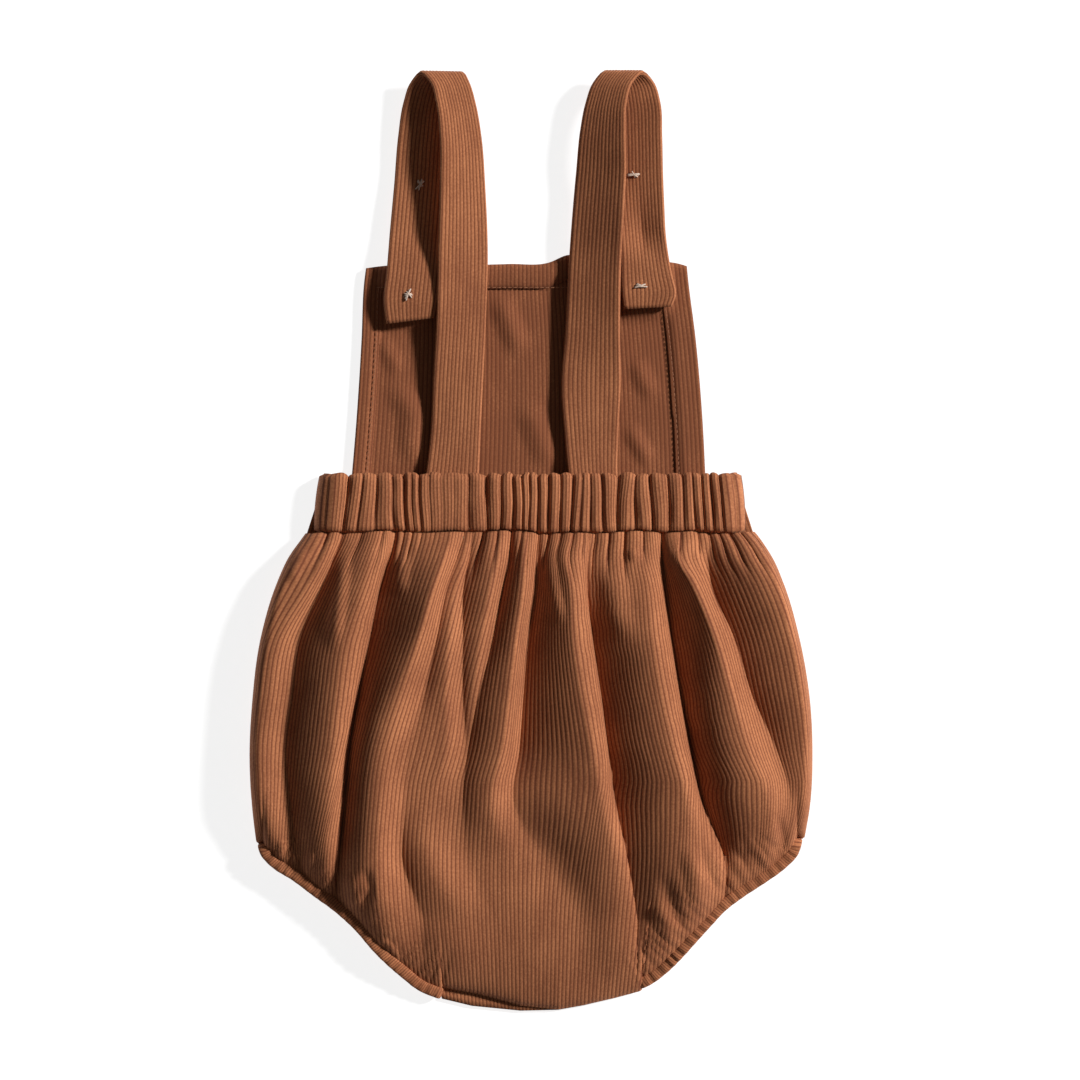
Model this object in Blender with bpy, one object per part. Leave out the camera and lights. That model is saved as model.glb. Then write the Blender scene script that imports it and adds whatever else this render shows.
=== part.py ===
"""A baby's bubble romper in fine corduroy, laid flat with its back uppermost.

The bib and the front panel rest on the surface, the gathered back panel arches over the front,
and two straps run from the back waistband over to buttons under the bib. Lengths in the tables
are millimetres: x to the right, y from crotch to straps, z up from the surface.
"""
import bpy
import numpy as np

MM = 0.001
CLOTH = 1.6
BIB_CLOTH = 1.5
FACING_CLOTH = 1.2
STRAP_CLOTH = 2.5
GAP = 0.3

SEAM_Y = 3.5
BAND_TOP_Y = 30.2
BAND_INNER_Z = 7.0
BAND_WALL = 1.6
PLEAT_HEIGHT = 2.2
BAND_END_RADIUS = 4.5
FRONT_TOP_Y = 21.6
BIB_FOOT_Y = 22.0

HEM_WIDTH = 5.5
HEM_THICK = 2.6
HEM_UPPER_Z = 10.0
HEM_CROTCH_Z = 4.7
HEM_CORNER = 1.4
CORNER_EASE = 0.9
HEM_GATHER_PITCH = 4.9
HEM_GATHER = 0.55
LEG_EDGE_Z = 8.6
SIDE_ROUND = 14.0
LOWER_ROUND = 12.0
SIDE_SEAM_Z = 6.0
FRONT_CURL = 5.0

BUTTON_RADIUS = 7.5
BUTTON_THICK = 2.5
BUMP_FLAT = 9.8
BUMP_SKIRT = 7.0

BACK_COLUMNS = 52
BACK_ROWS = 23
FRONT_ROWS = 10

# The side seams seen from above: y, left x, right x. The last three rows guide the cloth's grain only.
SIDES = (
    (21.6, -97.5, 96.5),
    (9.0, -99.5, 97.4),
    (3.2, -103.2, 102.4),
    (-8.0, -110.6, 110.0),
    (-20.0, -116.0, 115.2),
    (-45.0, -123.3, 122.4),
    (-75.0, -127.2, 127.3),
    (-98.0, -128.3, 128.3),
    (-120.0, -127.3, 127.3),
    (-137.0, -125.4, 124.6),
    (-160.0, -121.5, 121.0),
    (-185.0, -116.0, 116.0),
    (-217.0, -108.0, 108.0),
)

# The outer edge of each gathered leg hem, from the side seam to the crotch: x, y.
LEFT_LEG = (
    (-125.3, -138.6), (-123.2, -143.8), (-118.4, -149.0), (-108.8, -155.2), (-99.2, -162.4),
    (-89.6, -169.4), (-81.2, -177.0), (-71.3, -188.3), (-59.7, -199.2), (-51.0, -206.0), (-41.4, -210.0),
)
RIGHT_LEG = (
    (124.4, -136.2), (121.6, -143.8), (115.7, -149.9), (106.8, -156.3), (97.5, -162.4),
    (89.0, -168.8), (82.0, -176.2), (75.3, -183.6), (69.5, -190.2), (62.6, -197.2), (55.0, -203.0), (50.2, -205.4),
)
# The rounded crotch edge of the front panel, which the back panel's seam leaves bare on the left.
FRONT_CROTCH = (
    (-39.0, -210.8), (-27.0, -213.0), (-4.8, -215.0), (12.3, -214.6), (24.2, -212.5), (43.4, -207.8), (47.7, -206.4),
)
FRONT_HEM_ENDS = (-39.9, -38.7, 47.4, 48.6)
BACK_CROTCH = (
    (-39.0, -203.8), (-23.3, -206.8), (-5.0, -211.8), (12.3, -213.6), (24.2, -211.6), (38.0, -208.4), (45.4, -206.2),
)

# How high the back panel arches between its folds: y, z.
ARCH = (
    (3.2, 8.6), (-15.0, 11.2), (-40.0, 14.0), (-80.0, 16.0), (-120.0, 16.0), (-160.0, 13.6), (-195.0, 9.6), (-217.0, 7.0),
)

# The folds of the back panel. Each row follows one crest down from the waist: its x at every y of
# FOLD_Y, its height there, and the widths of its gentle left side and its steep right side.
FOLD_Y = (2.0, -20.0, -45.0, -70.0, -95.0, -120.0, -145.0, -170.0)
FOLDS = (
    ("left side", (-96, -107, -116, -120, -122, -121, -116, -110), (1.5, 2.5, 0, 0, 0, 0, 0, 0), 9, 5),
    ("left outer", (-88, -99, -112.5, -117, -120.7, -119.3, -112.5, -104), (2, 5, 6, 6, 6, 5, 2.5, 0), 12, 9),
    ("left spur", (-79.5, -84, -88, -92, -94, -96, -98, -100), (2, 4, 0.8, 0, 0, 0, 0, 0), 9, 6),
    ("left deep", (-67.7, -72, -77.3, -81.2, -85.5, -88.2, -90.5, -93), (2.5, 8, 10, 10, 9, 8, 5.5, 0), 21, 7),
    ("left middle", (-29.7, -41.2, -48, -56.2, -64, -66.3, -64.2, -66.8), (2.5, 7, 8.5, 9, 9, 8, 6, 2), 17, 20),
    ("left lip", (-36, -35, -34.1, -35.2, -36.6, -41.2, -46, -50), (0, 0.5, 3, 4, 4, 3, 0, 0), 8, 4),
    ("centre faint", (-11.4, -14.6, -20.6, -26.5, -30, -33, -36, -40), (2, 4, 3, 1.5, 0, 0, 0, 0), 8, 6),
    ("centre", (0.9, -1.4, -4.6, -6.9, -9.8, -14.6, -24, -33), (2.2, 6, 7, 7, 6, 4.5, 1.5, 0), 12, 6),
    ("right middle", (14.6, 20.6, 24.7, 27.7, 30.6, 34, 40.7, 44.8), (2.5, 7, 8, 8, 8, 6.5, 3.5, 1.5), 23, 6),
    ("right spot", (33, 38.4, 52, 57, 60, 64, 68, 70), (0, 2.5, 1.5, 0, 0, 0, 0, 0), 9, 9),
    ("right deep", (45.7, 57.4, 60.8, 66.4, 69.7, 76.4, 83.9, 93), (2.5, 9, 11, 11, 11, 9, 6, 0), 25, 6),
    ("right outer", (71.3, 76.4, 88, 96, 101.3, 108.4, 112, 114), (2, 6, 7, 7, 7, 5, 2, 0), 17, 10),
    ("right side", (93.3, 110.6, 117.5, 121.2, 124, 125, 124, 122), (2, 5, 5, 3.5, 0, 0, 0, 0), 20, 6),
)

GUIDING_FOLDS = (
    "left outer", "left deep", "left middle", "centre", "right middle", "right deep", "right outer",
)
PIN_DROP = 8.0

# The waistband's pleats: x at its top edge, x at its seam, and how deep the dip on its right is.
PLEATS = (
    (-91.4, -93.7, 0.9), (-82.3, -85.5, 0.5), (-77.7, -80.0, 0.6), (-69.0, -68.6, 0.6), (-63.1, -61.7, 1.0),
    (-58.5, -57.2, 0.4), (-55.3, -54.0, 0.6), (-51.2, -50.3, 0.25), (-45.3, -45.3, 0.1), (-39.3, -39.3, 0.1),
    (-34.3, -34.3, 0.6), (-25.6, -24.7, 1.0), (-16.9, -17.4, 0.7), (-11.0, -11.9, 0.8), (-5.9, -5.5, 0.4),
    (-2.7, -2.3, 0.5), (1.4, 0.5, 0.8), (5.5, 5.5, 1.0), (11.0, 10.1, 0.6), (16.5, 16.5, 0.8),
    (22.9, 21.0, 0.3), (25.6, 25.1, 0.6), (30.6, 31.5, 0.7), (35.7, 37.5, 1.0), (47.1, 44.8, 0.7),
    (52.6, 53.9, 1.0), (59.9, 61.3, 0.8), (69.0, 70.4, 0.6), (74.1, 75.9, 0.6), (78.6, 80.9, 0.6),
    (82.8, 84.6, 0.9), (86.9, 90.1, 0.6), (91.4, 94.2, 0.4),
)
BAND_ENDS = ((-96.6, 96.0), (-99.4, 98.0))

# The bib's outline: y, left x, right x, and its top edge: x, y.
BIB_SIDES = ((22.0, -82.5, 80.0), (55.6, -79.7, 78.3), (92.0, -77.4, 75.2), (118.0, -76.2, 71.9), (131.0, -74.4, 70.6))
BIB_TOP = (
    (-77.0, 124.0), (-70.0, 125.0), (-40.0, 125.4), (-10.0, 126.2), (8.0, 126.8),
    (17.0, 130.3), (29.0, 127.6), (45.0, 126.6), (68.0, 126.2), (73.0, 124.6),
)
# Soft creases of the bib: the route of each, its height and its half width.
BIB_CREASES = (
    (((-18.7, 108.0), (-14.2, 96.0)), 1.6, 5.0),
    (((-1.0, 99.0), (1.8, 82.4), (6.4, 68.7), (8.7, 58.0)), 2.0, 6.0),
    (((-57.6, 77.0), (-59.9, 68.7), (-54.5, 57.5), (-50.7, 47.0), (-54.0, 36.0), (-58.0, 28.0)), 2.4, 6.0),
    (((41.6, 52.0), (47.5, 41.2), (55.0, 33.0)), 1.5, 5.0),
)
# The bib's grid: y of its rows and shares of its width. Some lie at the buttons and at the facing's
# inner edge, which is two rows below the top, two columns in on the left and two on the right.
BIB_ROWS = (22.0, 34.0, 46.0, 58.0, 70.0, 82.0, 93.0, 103.4, 107.4, 112.1, 115.0, 120.4, 125.3)
BIB_COLUMNS = (
    0, 0.027, 0.0537, 0.0853, 0.139, 0.195, 0.25, 0.32, 0.39, 0.46,
    0.53, 0.60, 0.67, 0.735, 0.792, 0.848, 0.911, 0.955, 1,
)
FACING_ROWS = 2
FACING_LEFT_COLUMNS = 2
FACING_RIGHT_COLUMNS = 2

# Buttons: the two that hold the straps to the bib, and a spare higher on each strap.
BUTTONS = (
    ("button_bib_left", -55.8, 112.1),
    ("button_bib_right", 49.8, 115.8),
    ("button_spare_left", -50.7, 162.4),
    ("button_spare_right", 47.1, 166.5),
)
BIB_BUTTONS = BUTTONS[:2]

# Each strap from its seam under the waistband, over its loop and down to its buttoned end:
# left edge x, y, z, right edge x, y, z, and the dip of its middle.
LEFT_STRAP = (
    (-49.4, 21.0, 5.4, -24.5, 21.0, 5.4, 0), (-48.0, 30.3, 5.4, -23.8, 30.3, 5.4, 0),
    (-45.9, 48.6, 5.0, -23.0, 48.6, 4.6, 0), (-44.8, 71.0, 6.0, -21.9, 71.0, 4.6, 0),
    (-43.0, 104.0, 10.4, -20.4, 104.0, 5.8, 0), (-42.4, 129.0, 12.0, -19.7, 129.0, 6.6, 0),
    (-41.5, 160.0, 13.6, -20.8, 160.0, 7.6, 0), (-41.5, 184.0, 14.6, -22.6, 184.0, 8.8, 0),
    (-43.2, 199.0, 14.6, -25.2, 199.0, 9.4, 0), (-46.2, 208.8, 13.0, -28.0, 208.4, 9.4, 0),
    (-50.7, 212.8, 10.4, -30.5, 212.6, 7.9, 0), (-55.0, 208.6, 7.7, -33.5, 208.6, 6.0, 0),
    (-58.2, 199.9, 5.8, -35.6, 199.9, 4.8, 0), (-60.7, 184.3, 4.6, -37.2, 184.3, 4.3, 0),
    (-62.5, 162.4, 4.15, -38.6, 162.4, 4.15, 0), (-64.5, 140.0, 5.4, -40.2, 140.0, 5.4, 0),
    (-65.9, 122.0, 7.5, -41.6, 122.0, 7.5, 0), (-67.2, 108.9, 7.7, -43.0, 108.9, 7.7, 0),
    (-66.0, 98.8, 6.4, -44.2, 101.5, 6.4, 0),
)
RIGHT_STRAP = (
    (17.8, 21.0, 5.4, 40.2, 21.0, 5.4, 0), (16.9, 30.3, 5.4, 39.5, 30.3, 5.4, 0),
    (15.2, 48.6, 4.5, 39.9, 48.6, 5.2, 0), (13.8, 71.0, 4.5, 40.9, 71.0, 6.6, 0),
    (15.6, 95.0, 4.8, 40.6, 95.0, 9.6, 0), (17.2, 125.0, 5.6, 41.0, 125.0, 12.6, 0),
    (19.0, 150.0, 6.4, 42.4, 150.0, 14.4, 0), (20.6, 168.0, 7.2, 43.3, 168.0, 15.2, 0),
    (22.4, 186.6, 8.2, 43.1, 186.6, 15.6, 0), (24.8, 199.0, 8.8, 43.6, 199.0, 15.2, 0),
    (28.4, 208.6, 8.8, 46.6, 208.6, 13.4, 0), (33.0, 213.2, 7.7, 51.5, 212.9, 10.8, 0),
    (36.0, 208.8, 6.0, 56.0, 208.8, 7.8, 0), (37.5, 200.0, 4.9, 58.9, 200.0, 5.8, 0.2),
    (38.5, 184.0, 4.3, 59.8, 184.0, 4.6, 0.3), (38.8, 166.5, 4.2, 60.2, 166.5, 4.2, 0),
    (39.5, 152.0, 5.0, 60.8, 152.0, 4.8, 0.8), (40.5, 139.0, 6.9, 61.5, 139.0, 6.4, 2.4),
    (40.9, 129.0, 7.8, 63.0, 128.0, 7.6, 0.1), (41.0, 121.0, 7.8, 64.6, 120.0, 7.8, 0),
    (41.3, 113.0, 7.8, 66.2, 112.3, 7.8, 0), (42.2, 105.5, 7.0, 64.3, 106.6, 6.9, 0),
)

CORDUROY = (0.36, 0.155, 0.065)
CORDUROY_DARK = (0.30, 0.125, 0.052)
BUTTON_BROWN = (0.19, 0.085, 0.04)


def smooth(rows, at, column=1):
    """A smooth curve through a table's rows, its first column against another."""
    rows = np.array([(row[0], row[column]) for row in rows], float)
    rows = rows[np.argsort(rows[:, 0])]
    x, y = rows.T
    slope = np.gradient(y, x)
    at = np.clip(at, x[0], x[-1])
    i = np.clip(np.searchsorted(x, at) - 1, 0, len(x) - 2)
    step = x[i + 1] - x[i]
    t = (at - x[i]) / step
    rise = y[i + 1] - y[i]
    a = slope[i] * step - rise
    b = rise - slope[i + 1] * step
    return y[i] + t * rise + t * (1 - t) * (a * (1 - t) + b * t)


def curve(points, count):
    """Evenly spaced points along a smooth curve through the given ones."""
    points = np.array(points, float)
    run = np.concatenate([[0], np.cumsum(np.linalg.norm(np.diff(points, axis=0), axis=1))])
    fine = np.linspace(0, run[-1], 20 * len(points))
    line = np.stack([smooth(np.stack([run, c], 1), fine) for c in points.T], 1)
    length = np.concatenate([[0], np.cumsum(np.linalg.norm(np.diff(line, axis=0), axis=1))])
    return np.stack([np.interp(np.linspace(0, length[-1], count), length, c) for c in line.T], 1)


def inward(line, centre_x):
    """The level direction square to a line of plan points, towards the garment's middle."""
    run = np.gradient(line[:, :2], axis=0)
    across = np.stack([-run[:, 1], run[:, 0]], 1)
    across /= np.linalg.norm(across, axis=1)[:, None]
    return across * np.sign((across * ([centre_x, -60.0] - line[:, :2])).sum(1))[:, None]


def ease(t):
    t = np.clip(t, 0, 1)
    return t * t * (3 - 2 * t)


def quarter(distance, radius):
    """The rise of a quarter round, from 0 at an edge to 1 at its radius."""
    return np.sqrt(1 - (1 - np.clip(distance / radius, 0, 1)) ** 2)


def grid_normals(grid):
    along, across = np.gradient(grid, axis=0), np.gradient(grid, axis=1)
    normal = np.cross(along, across)
    return normal / np.linalg.norm(normal, axis=2)[..., None]


def material(name, colour, roughness):
    finish = bpy.data.materials.new(name)
    finish.use_nodes = True
    shader = finish.node_tree.nodes["Principled BSDF"]
    shader.inputs["Base Color"].default_value = (*colour, 1)
    shader.inputs["Roughness"].default_value = roughness
    shader.inputs["Metallic"].default_value = 0
    return finish


def add_object(name, points, faces, finish):
    mesh = bpy.data.meshes.new(name)
    mesh.from_pydata([tuple(p) for p in np.asarray(points) * MM], [], faces)
    mesh.materials.append(finish)
    mesh.shade_smooth()
    made = bpy.data.objects.new(name, mesh)
    bpy.context.collection.objects.link(made)
    return made


def add_wall(name, upper, lower, finish, cells=None):
    """A closed wall between an upper and a lower grid of points, or between some of their cells.

    The grids' rows run down the garment and their columns to the right, seen from the upper side.
    """
    rows, columns = upper.shape[:2]
    index = np.arange(rows * columns).reshape(rows, columns)
    if cells is None:
        cells = np.ones((rows - 1, columns - 1), bool)
    faces, edges = [], {}
    for r, c in zip(*np.nonzero(cells)):
        corners = [index[r, c], index[r + 1, c], index[r + 1, c + 1], index[r, c + 1]]
        for face in (corners[:3], corners[2:] + corners[:1]):
            faces.append(face)
            faces.append([corner + rows * columns for corner in reversed(face)])
        for a, b in zip(corners, corners[1:] + corners[:1]):
            if edges.pop((b, a), None) is None:
                edges[a, b] = True
    for a, b in edges:
        faces.append([b, a, a + rows * columns, b + rows * columns])
    points = np.concatenate([upper.reshape(-1, 3), lower.reshape(-1, 3)])
    used = sorted({int(i) for face in faces for i in face})
    renumber = {old: new for new, old in enumerate(used)}
    faces = [tuple(renumber[int(i)] for i in face) for face in faces]
    return add_object(name, points[used], faces, finish)


def thicken(grid, thick, level_rim=False):
    """The upper and lower faces of a wall about a grid; a level rim ends it square to the surface."""
    out = grid_normals(grid)
    if level_rim:
        out[:, 0, 2] = out[:, -1, 2] = out[-1, :, 2] = 0
        out /= np.linalg.norm(out, axis=2)[..., None]
    return grid + out * thick / 2, grid - out * thick / 2


def add_tube(name, sections, finish, ring):
    """A tube through sections of equal point counts, joined into a ring or capped at its ends."""
    count, sides = sections.shape[:2]
    faces = []
    for r in range(count if ring else count - 1):
        for s in range(sides):
            a, b = r * sides + s, r * sides + (s + 1) % sides
            c, d = (r + 1) % count * sides + (s + 1) % sides, (r + 1) % count * sides + s
            faces.append((a, b, c, d))
    if not ring:
        faces.append(tuple(reversed(range(sides))))
        faces.append(tuple(range((count - 1) * sides, count * sides)))
    return add_object(name, sections.reshape(-1, 3), faces, finish)


def leg_line(points, count, inset):
    line = curve(points, count)
    return line + inward(line, 0.0) * inset


def leg_seam(points):
    """Where a body panel ends along one leg, with the corner that it turns above the hem's ring."""
    inset = HEM_WIDTH + GAP + CLOTH / 2 + CORNER_EASE * np.exp(-np.arange(60) / 4.0)
    line = leg_line(points, 60, inset[:, None])
    run = line[0] - line[1]
    run *= HEM_CORNER / np.linalg.norm(run)
    corner = curve(points, 60)[0] + run
    side = np.array([np.sign(corner[0]) * 129.0, corner[1]])
    return np.stack([side, corner, line[0] + run, *line])


def lower_edge(crotch):
    """The lower edge of a body panel, from one leg's seam round the crotch to the other's."""
    left, right = leg_seam(LEFT_LEG), leg_seam(RIGHT_LEG)[::-1]
    left = left[left[:, 0] < crotch[0][0] - 0.2]
    right = right[right[:, 0] > crotch[-1][0] + 0.2]
    left_end = (crotch[0][0] - 0.2, left[-1, 1] - 0.4)
    right_end = (crotch[-1][0] + 0.2, right[0, 1] - 0.4)
    return np.stack([*left, left_end, *crotch, right_end, *right])


def side_seam(y):
    return smooth(SIDES, y, 1) + CLOTH / 2, smooth(SIDES, y, 2) - CLOTH / 2


def seam_height(y):
    """The height of the side seam, which comes down to the front panel at the waist."""
    low = CLOTH + GAP
    return low + (SIDE_SEAM_Z - low) * ease((4.0 - y) / 16.0)


def fold_height(x, y):
    total = np.zeros(np.broadcast(x, y).shape)
    for name, crest, heights, rise, drop in FOLDS:
        top = smooth(tuple(zip(FOLD_Y, crest)), y)
        height = np.maximum(smooth(tuple(zip(FOLD_Y, heights)), y), 0)
        away = x - top
        shape = np.where(away < 0, ease(1 + away / rise), ease(1 - away / drop))
        total = total + height * shape
    return total


def back_height(x, y):
    """The middle of the back panel's wall, before its lower edge turns down."""
    left, right = side_seam(y)
    spread = np.abs(np.where(x < 0, x / left, x / right))
    top = smooth(ARCH, y) * (1 - 0.2 * spread**3) + fold_height(x, y)
    seam = seam_height(y)
    return seam + (top - seam) * quarter(np.minimum(x - left, right - x), SIDE_ROUND)


def grain_lines(columns):
    """Plan x of the back panel's grain lines at a ladder of heights.

    The lines keep to the crests and feet of the main folds and share the cloth between them evenly.
    """
    ladder = np.linspace(SEAM_Y - GAP, -217.0, 56)
    half = (1 - np.cos(np.linspace(0, np.pi, 801))) / 2
    left, right = side_seam(ladder)
    pins = [left]
    for name, crest, heights, rise, drop in FOLDS:
        if name in GUIDING_FOLDS:
            top = smooth(tuple(zip(FOLD_Y, crest)), ladder)
            pins += [top, top + np.minimum(drop, PIN_DROP)]
    pins = np.array([*pins, right])
    runs = []
    for k, y in enumerate(ladder):
        x = left[k] + (right[k] - left[k]) * half
        z = back_height(x, y)
        run = np.concatenate([[0], np.cumsum(np.hypot(np.diff(x), np.diff(z)))])
        runs.append((x, run, np.interp(pins[:, k], x, run)))
    widths = np.diff(np.median([at_pins for x, run, at_pins in runs[10:30]], axis=0))
    counts = np.maximum(1, np.round(widths / widths.sum() * columns)).astype(int)
    lines = []
    for x, run, at_pins in runs:
        stops = [np.linspace(a, b, n + 1)[:-1] for a, b, n in zip(at_pins, at_pins[1:], counts)]
        lines.append(np.interp(np.append(np.concatenate(stops), at_pins[-1]), run, x))
    return ladder, np.array(lines)


def panel_rows(ladder, lines, edge, top_y, rows):
    """Rows of plan points that run down the grain lines and end at the panel's lower edge."""
    columns = np.arange(lines.shape[1])

    def grain(y):
        place = np.interp(-y, -ladder, np.arange(len(ladder)))
        i = np.minimum(place.astype(int), len(ladder) - 2)
        t = place - i
        return lines[i, columns] * (1 - t) + lines[i + 1, columns] * t

    low, high = np.full(len(columns), -217.0), np.full(len(columns), -120.0)
    for _ in range(40):
        middle = (low + high) / 2
        above = middle > np.interp(grain(middle), edge[:, 0], edge[:, 1])
        low, high = np.where(above, low, middle), np.where(above, middle, high)
    step = np.linspace(0, 1, rows)
    step = 0.45 * step + 0.55 * (1 - np.cos(np.pi * step)) / 2
    y = top_y + (high - top_y) * step[:, None]
    x = np.array([grain(row) for row in y])
    return x, y


def edge_height(x):
    """How high the back panel's lower edge ends: on the front at the crotch, higher at the legs."""
    low = CLOTH + GAP
    legs = ease((np.abs(x + 2.0) - 42.0) / 22.0)
    corner = ease((np.abs(x) - 112.0) / 10.0)
    return low + (LEG_EDGE_Z - low) * legs - (LEG_EDGE_Z - SIDE_SEAM_Z) * corner


def back_panel(columns, rows):
    ladder, lines = grain_lines(columns)
    edge = lower_edge(BACK_CROTCH)
    x, y = panel_rows(ladder, lines, edge, SEAM_Y - GAP, rows)
    z = back_height(x, y)
    clear = (y - np.interp(x, edge[:, 0], edge[:, 1])) * 0.8
    end = edge_height(x)
    z = end + (z - end) * quarter(clear, LOWER_ROUND)
    return np.stack([x, y, z], 2)


def front_panel(rows):
    """The front panel: flat on the surface, with its sides curled up to the side seams."""
    curl = np.array([0, 0.3, 1.2, 2.8, FRONT_CURL])
    edge = lower_edge(FRONT_CROTCH)
    ladder = np.linspace(SEAM_Y - GAP, -217.0, 24)
    lines = []
    for y in ladder:
        left, right = side_seam(y)
        middle = np.concatenate([
            np.linspace(left * 0.9, -46.0, 7), FRONT_HEM_ENDS[:2], np.linspace(-28.0, 38.0, 7),
            FRONT_HEM_ENDS[2:], np.linspace(57.0, right * 0.9, 6),
        ])
        lines.append(np.concatenate([left + curl, middle, right - curl[::-1]]))
    x, y = panel_rows(ladder, np.array(lines), edge, SEAM_Y - GAP, rows)
    left, right = side_seam(y)
    rise = np.maximum(seam_height(y) - GAP - CLOTH / 2, 0) * ease((SEAM_Y - GAP - y) / 14.0)
    z = CLOTH / 2 + rise * (1 - quarter(np.minimum(x - left, right - x), FRONT_CURL))
    grid = np.stack([x, y, z], 2)
    top = grid[:1].copy()
    top[..., 0] *= smooth(SIDES, FRONT_TOP_Y, 2) / smooth(SIDES, SEAM_Y - GAP, 2)
    top[..., 1] = FRONT_TOP_Y
    return np.concatenate([top, grid])


def pleat_columns(per_pleat):
    """Stations along the waistband: x at the top, x at the seam, and the pleat's height there."""
    tops = np.array([BAND_ENDS[0][0], *[p[0] for p in PLEATS], BAND_ENDS[0][1]])
    feet = np.array([BAND_ENDS[1][0], *[p[1] for p in PLEATS], BAND_ENDS[1][1]])
    dips = np.array([0.3, *[p[2] for p in PLEATS]])
    turn = 1 - np.cos(np.linspace(0, np.pi / 2, 6)[:-1])
    first = turn * BAND_END_RADIUS / (tops[1] - tops[0])
    last = len(tops) - 1 - turn[::-1] * BAND_END_RADIUS / (tops[-1] - tops[-2])
    middle = np.arange(per_pleat, (len(tops) - 2) * per_pleat + 1) / per_pleat
    place = np.concatenate([first[first < 1], middle, last[last > len(tops) - 2]])
    i = np.minimum(place.astype(int), len(tops) - 2)
    dip = dips[i] * (1 - np.cos(2 * np.pi * (place - i))) / 2
    x_top = np.interp(place, np.arange(len(tops)), tops)
    x_foot = np.interp(place, np.arange(len(tops)), feet)
    return x_top, x_foot, 1 - dip


def waistband_sections(per_pleat):
    """Sections of the elastic casing across the back, round at both ends."""
    x_top, x_foot, crest = pleat_columns(per_pleat)
    # Share of the way up the band, wall from the inside, share of the pleat's height.
    outline = (
        (0.0, 0.0, 0.0), (0.5, 0.0, 0.0), (0.97, 0.1, 0.0), (1.0, 0.9, 0.3),
        (0.93, 1.0, 0.95), (0.5, 1.0, 1.0), (0.12, 1.0, 0.85), (0.0, 0.75, 0.35),
    )
    sections = []
    for share, wall, pleat in outline:
        x = x_foot + (x_top - x_foot) * share
        from_end = np.minimum(x - x[0], x[-1] - x)
        drop = BAND_END_RADIUS * (1 - quarter(from_end, BAND_END_RADIUS))
        z = BAND_INNER_Z - drop * (BAND_INNER_Z - CLOTH - GAP) / BAND_END_RADIUS
        run, climb = np.gradient(x), np.gradient(z)
        run[0], climb[0], run[-1], climb[-1] = 0, 1, 0, -1
        size = np.hypot(run, climb)
        out = wall * BAND_WALL + pleat * crest * PLEAT_HEIGHT
        shrink = 1 - (BAND_WALL + 0.8 * PLEAT_HEIGHT) / np.abs(x[[0, -1]]).mean()
        y = SEAM_Y + (BAND_TOP_Y - SEAM_Y) * share + np.zeros(len(x))
        y = y + (0.8 * (crest - 0.6) if share > 0.9 else 0)
        sections.append(np.stack([x * shrink - climb / size * out, y, z + run / size * out], 1))
    return np.stack(sections, 1)


def bib_height(x, y):
    """How far the bib lifts off the surface, over its two buttons and in its soft creases."""
    lift = np.zeros(np.broadcast(x, y).shape)
    for name, bx, by in BIB_BUTTONS:
        away = ((x - bx) ** 4 + (y - by) ** 4) ** 0.25
        lift = np.maximum(lift, (BUTTON_THICK + GAP) * ease(1 - (away - BUMP_FLAT) / BUMP_SKIRT))
    for route, height, width in BIB_CREASES:
        line = curve(route, 24)
        away = np.min(np.hypot(x[..., None] - line[:, 0], y[..., None] - line[:, 1]), axis=-1)
        lift = lift + height * ease(1 - away / width)
    return lift


def bib_grid():
    """The bib's underside, from its top edge down, left to right."""
    up = (np.array(BIB_ROWS) - BIB_FOOT_Y)[::-1, None] / (BIB_ROWS[-1] - BIB_FOOT_Y)
    across = np.array(BIB_COLUMNS)
    top_left, top_right = smooth(BIB_SIDES, 125.0, 1), smooth(BIB_SIDES, 125.0, 2)
    top = smooth(BIB_TOP, top_left + (top_right - top_left) * across)
    y = BIB_FOOT_Y + (top - BIB_FOOT_Y) * up
    left, right = smooth(BIB_SIDES, y, 1), smooth(BIB_SIDES, y, 2)
    x = left + (right - left) * across
    return np.stack([x, y, bib_height(x, y)], 2)


def raised(grid, height):
    return grid + np.array([0, 0, height])


def add_bib(finish):
    grid = bib_grid()
    add_wall("bib", raised(grid, BIB_CLOTH), grid, finish)


def add_facing(finish):
    """The turned facing over the bib's sides and top, made from the bib's points, moved out."""
    grid = raised(bib_grid(), BIB_CLOTH + GAP)
    cells = np.zeros((len(BIB_ROWS) - 1, len(BIB_COLUMNS) - 1), bool)
    cells[:FACING_ROWS] = True
    cells[:, :FACING_LEFT_COLUMNS] = cells[:, -FACING_RIGHT_COLUMNS:] = True
    add_wall("bib_facing", raised(grid, FACING_CLOTH), grid, finish, cells)


def strap_grid(rows, sections, columns):
    """A strap's middle surface, ruled from edge to edge with a dip along its middle."""
    line = curve(rows, sections)
    across = np.linspace(0, 1, columns)[None, :, None]
    left, right, dip = line[:, None, 0:3], line[:, None, 3:6], line[:, None, 6:7]
    grid = left + (right - left) * across
    grid[..., 2] -= (dip * (1 - np.abs(2 * across - 1)))[..., 0]
    return grid


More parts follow.
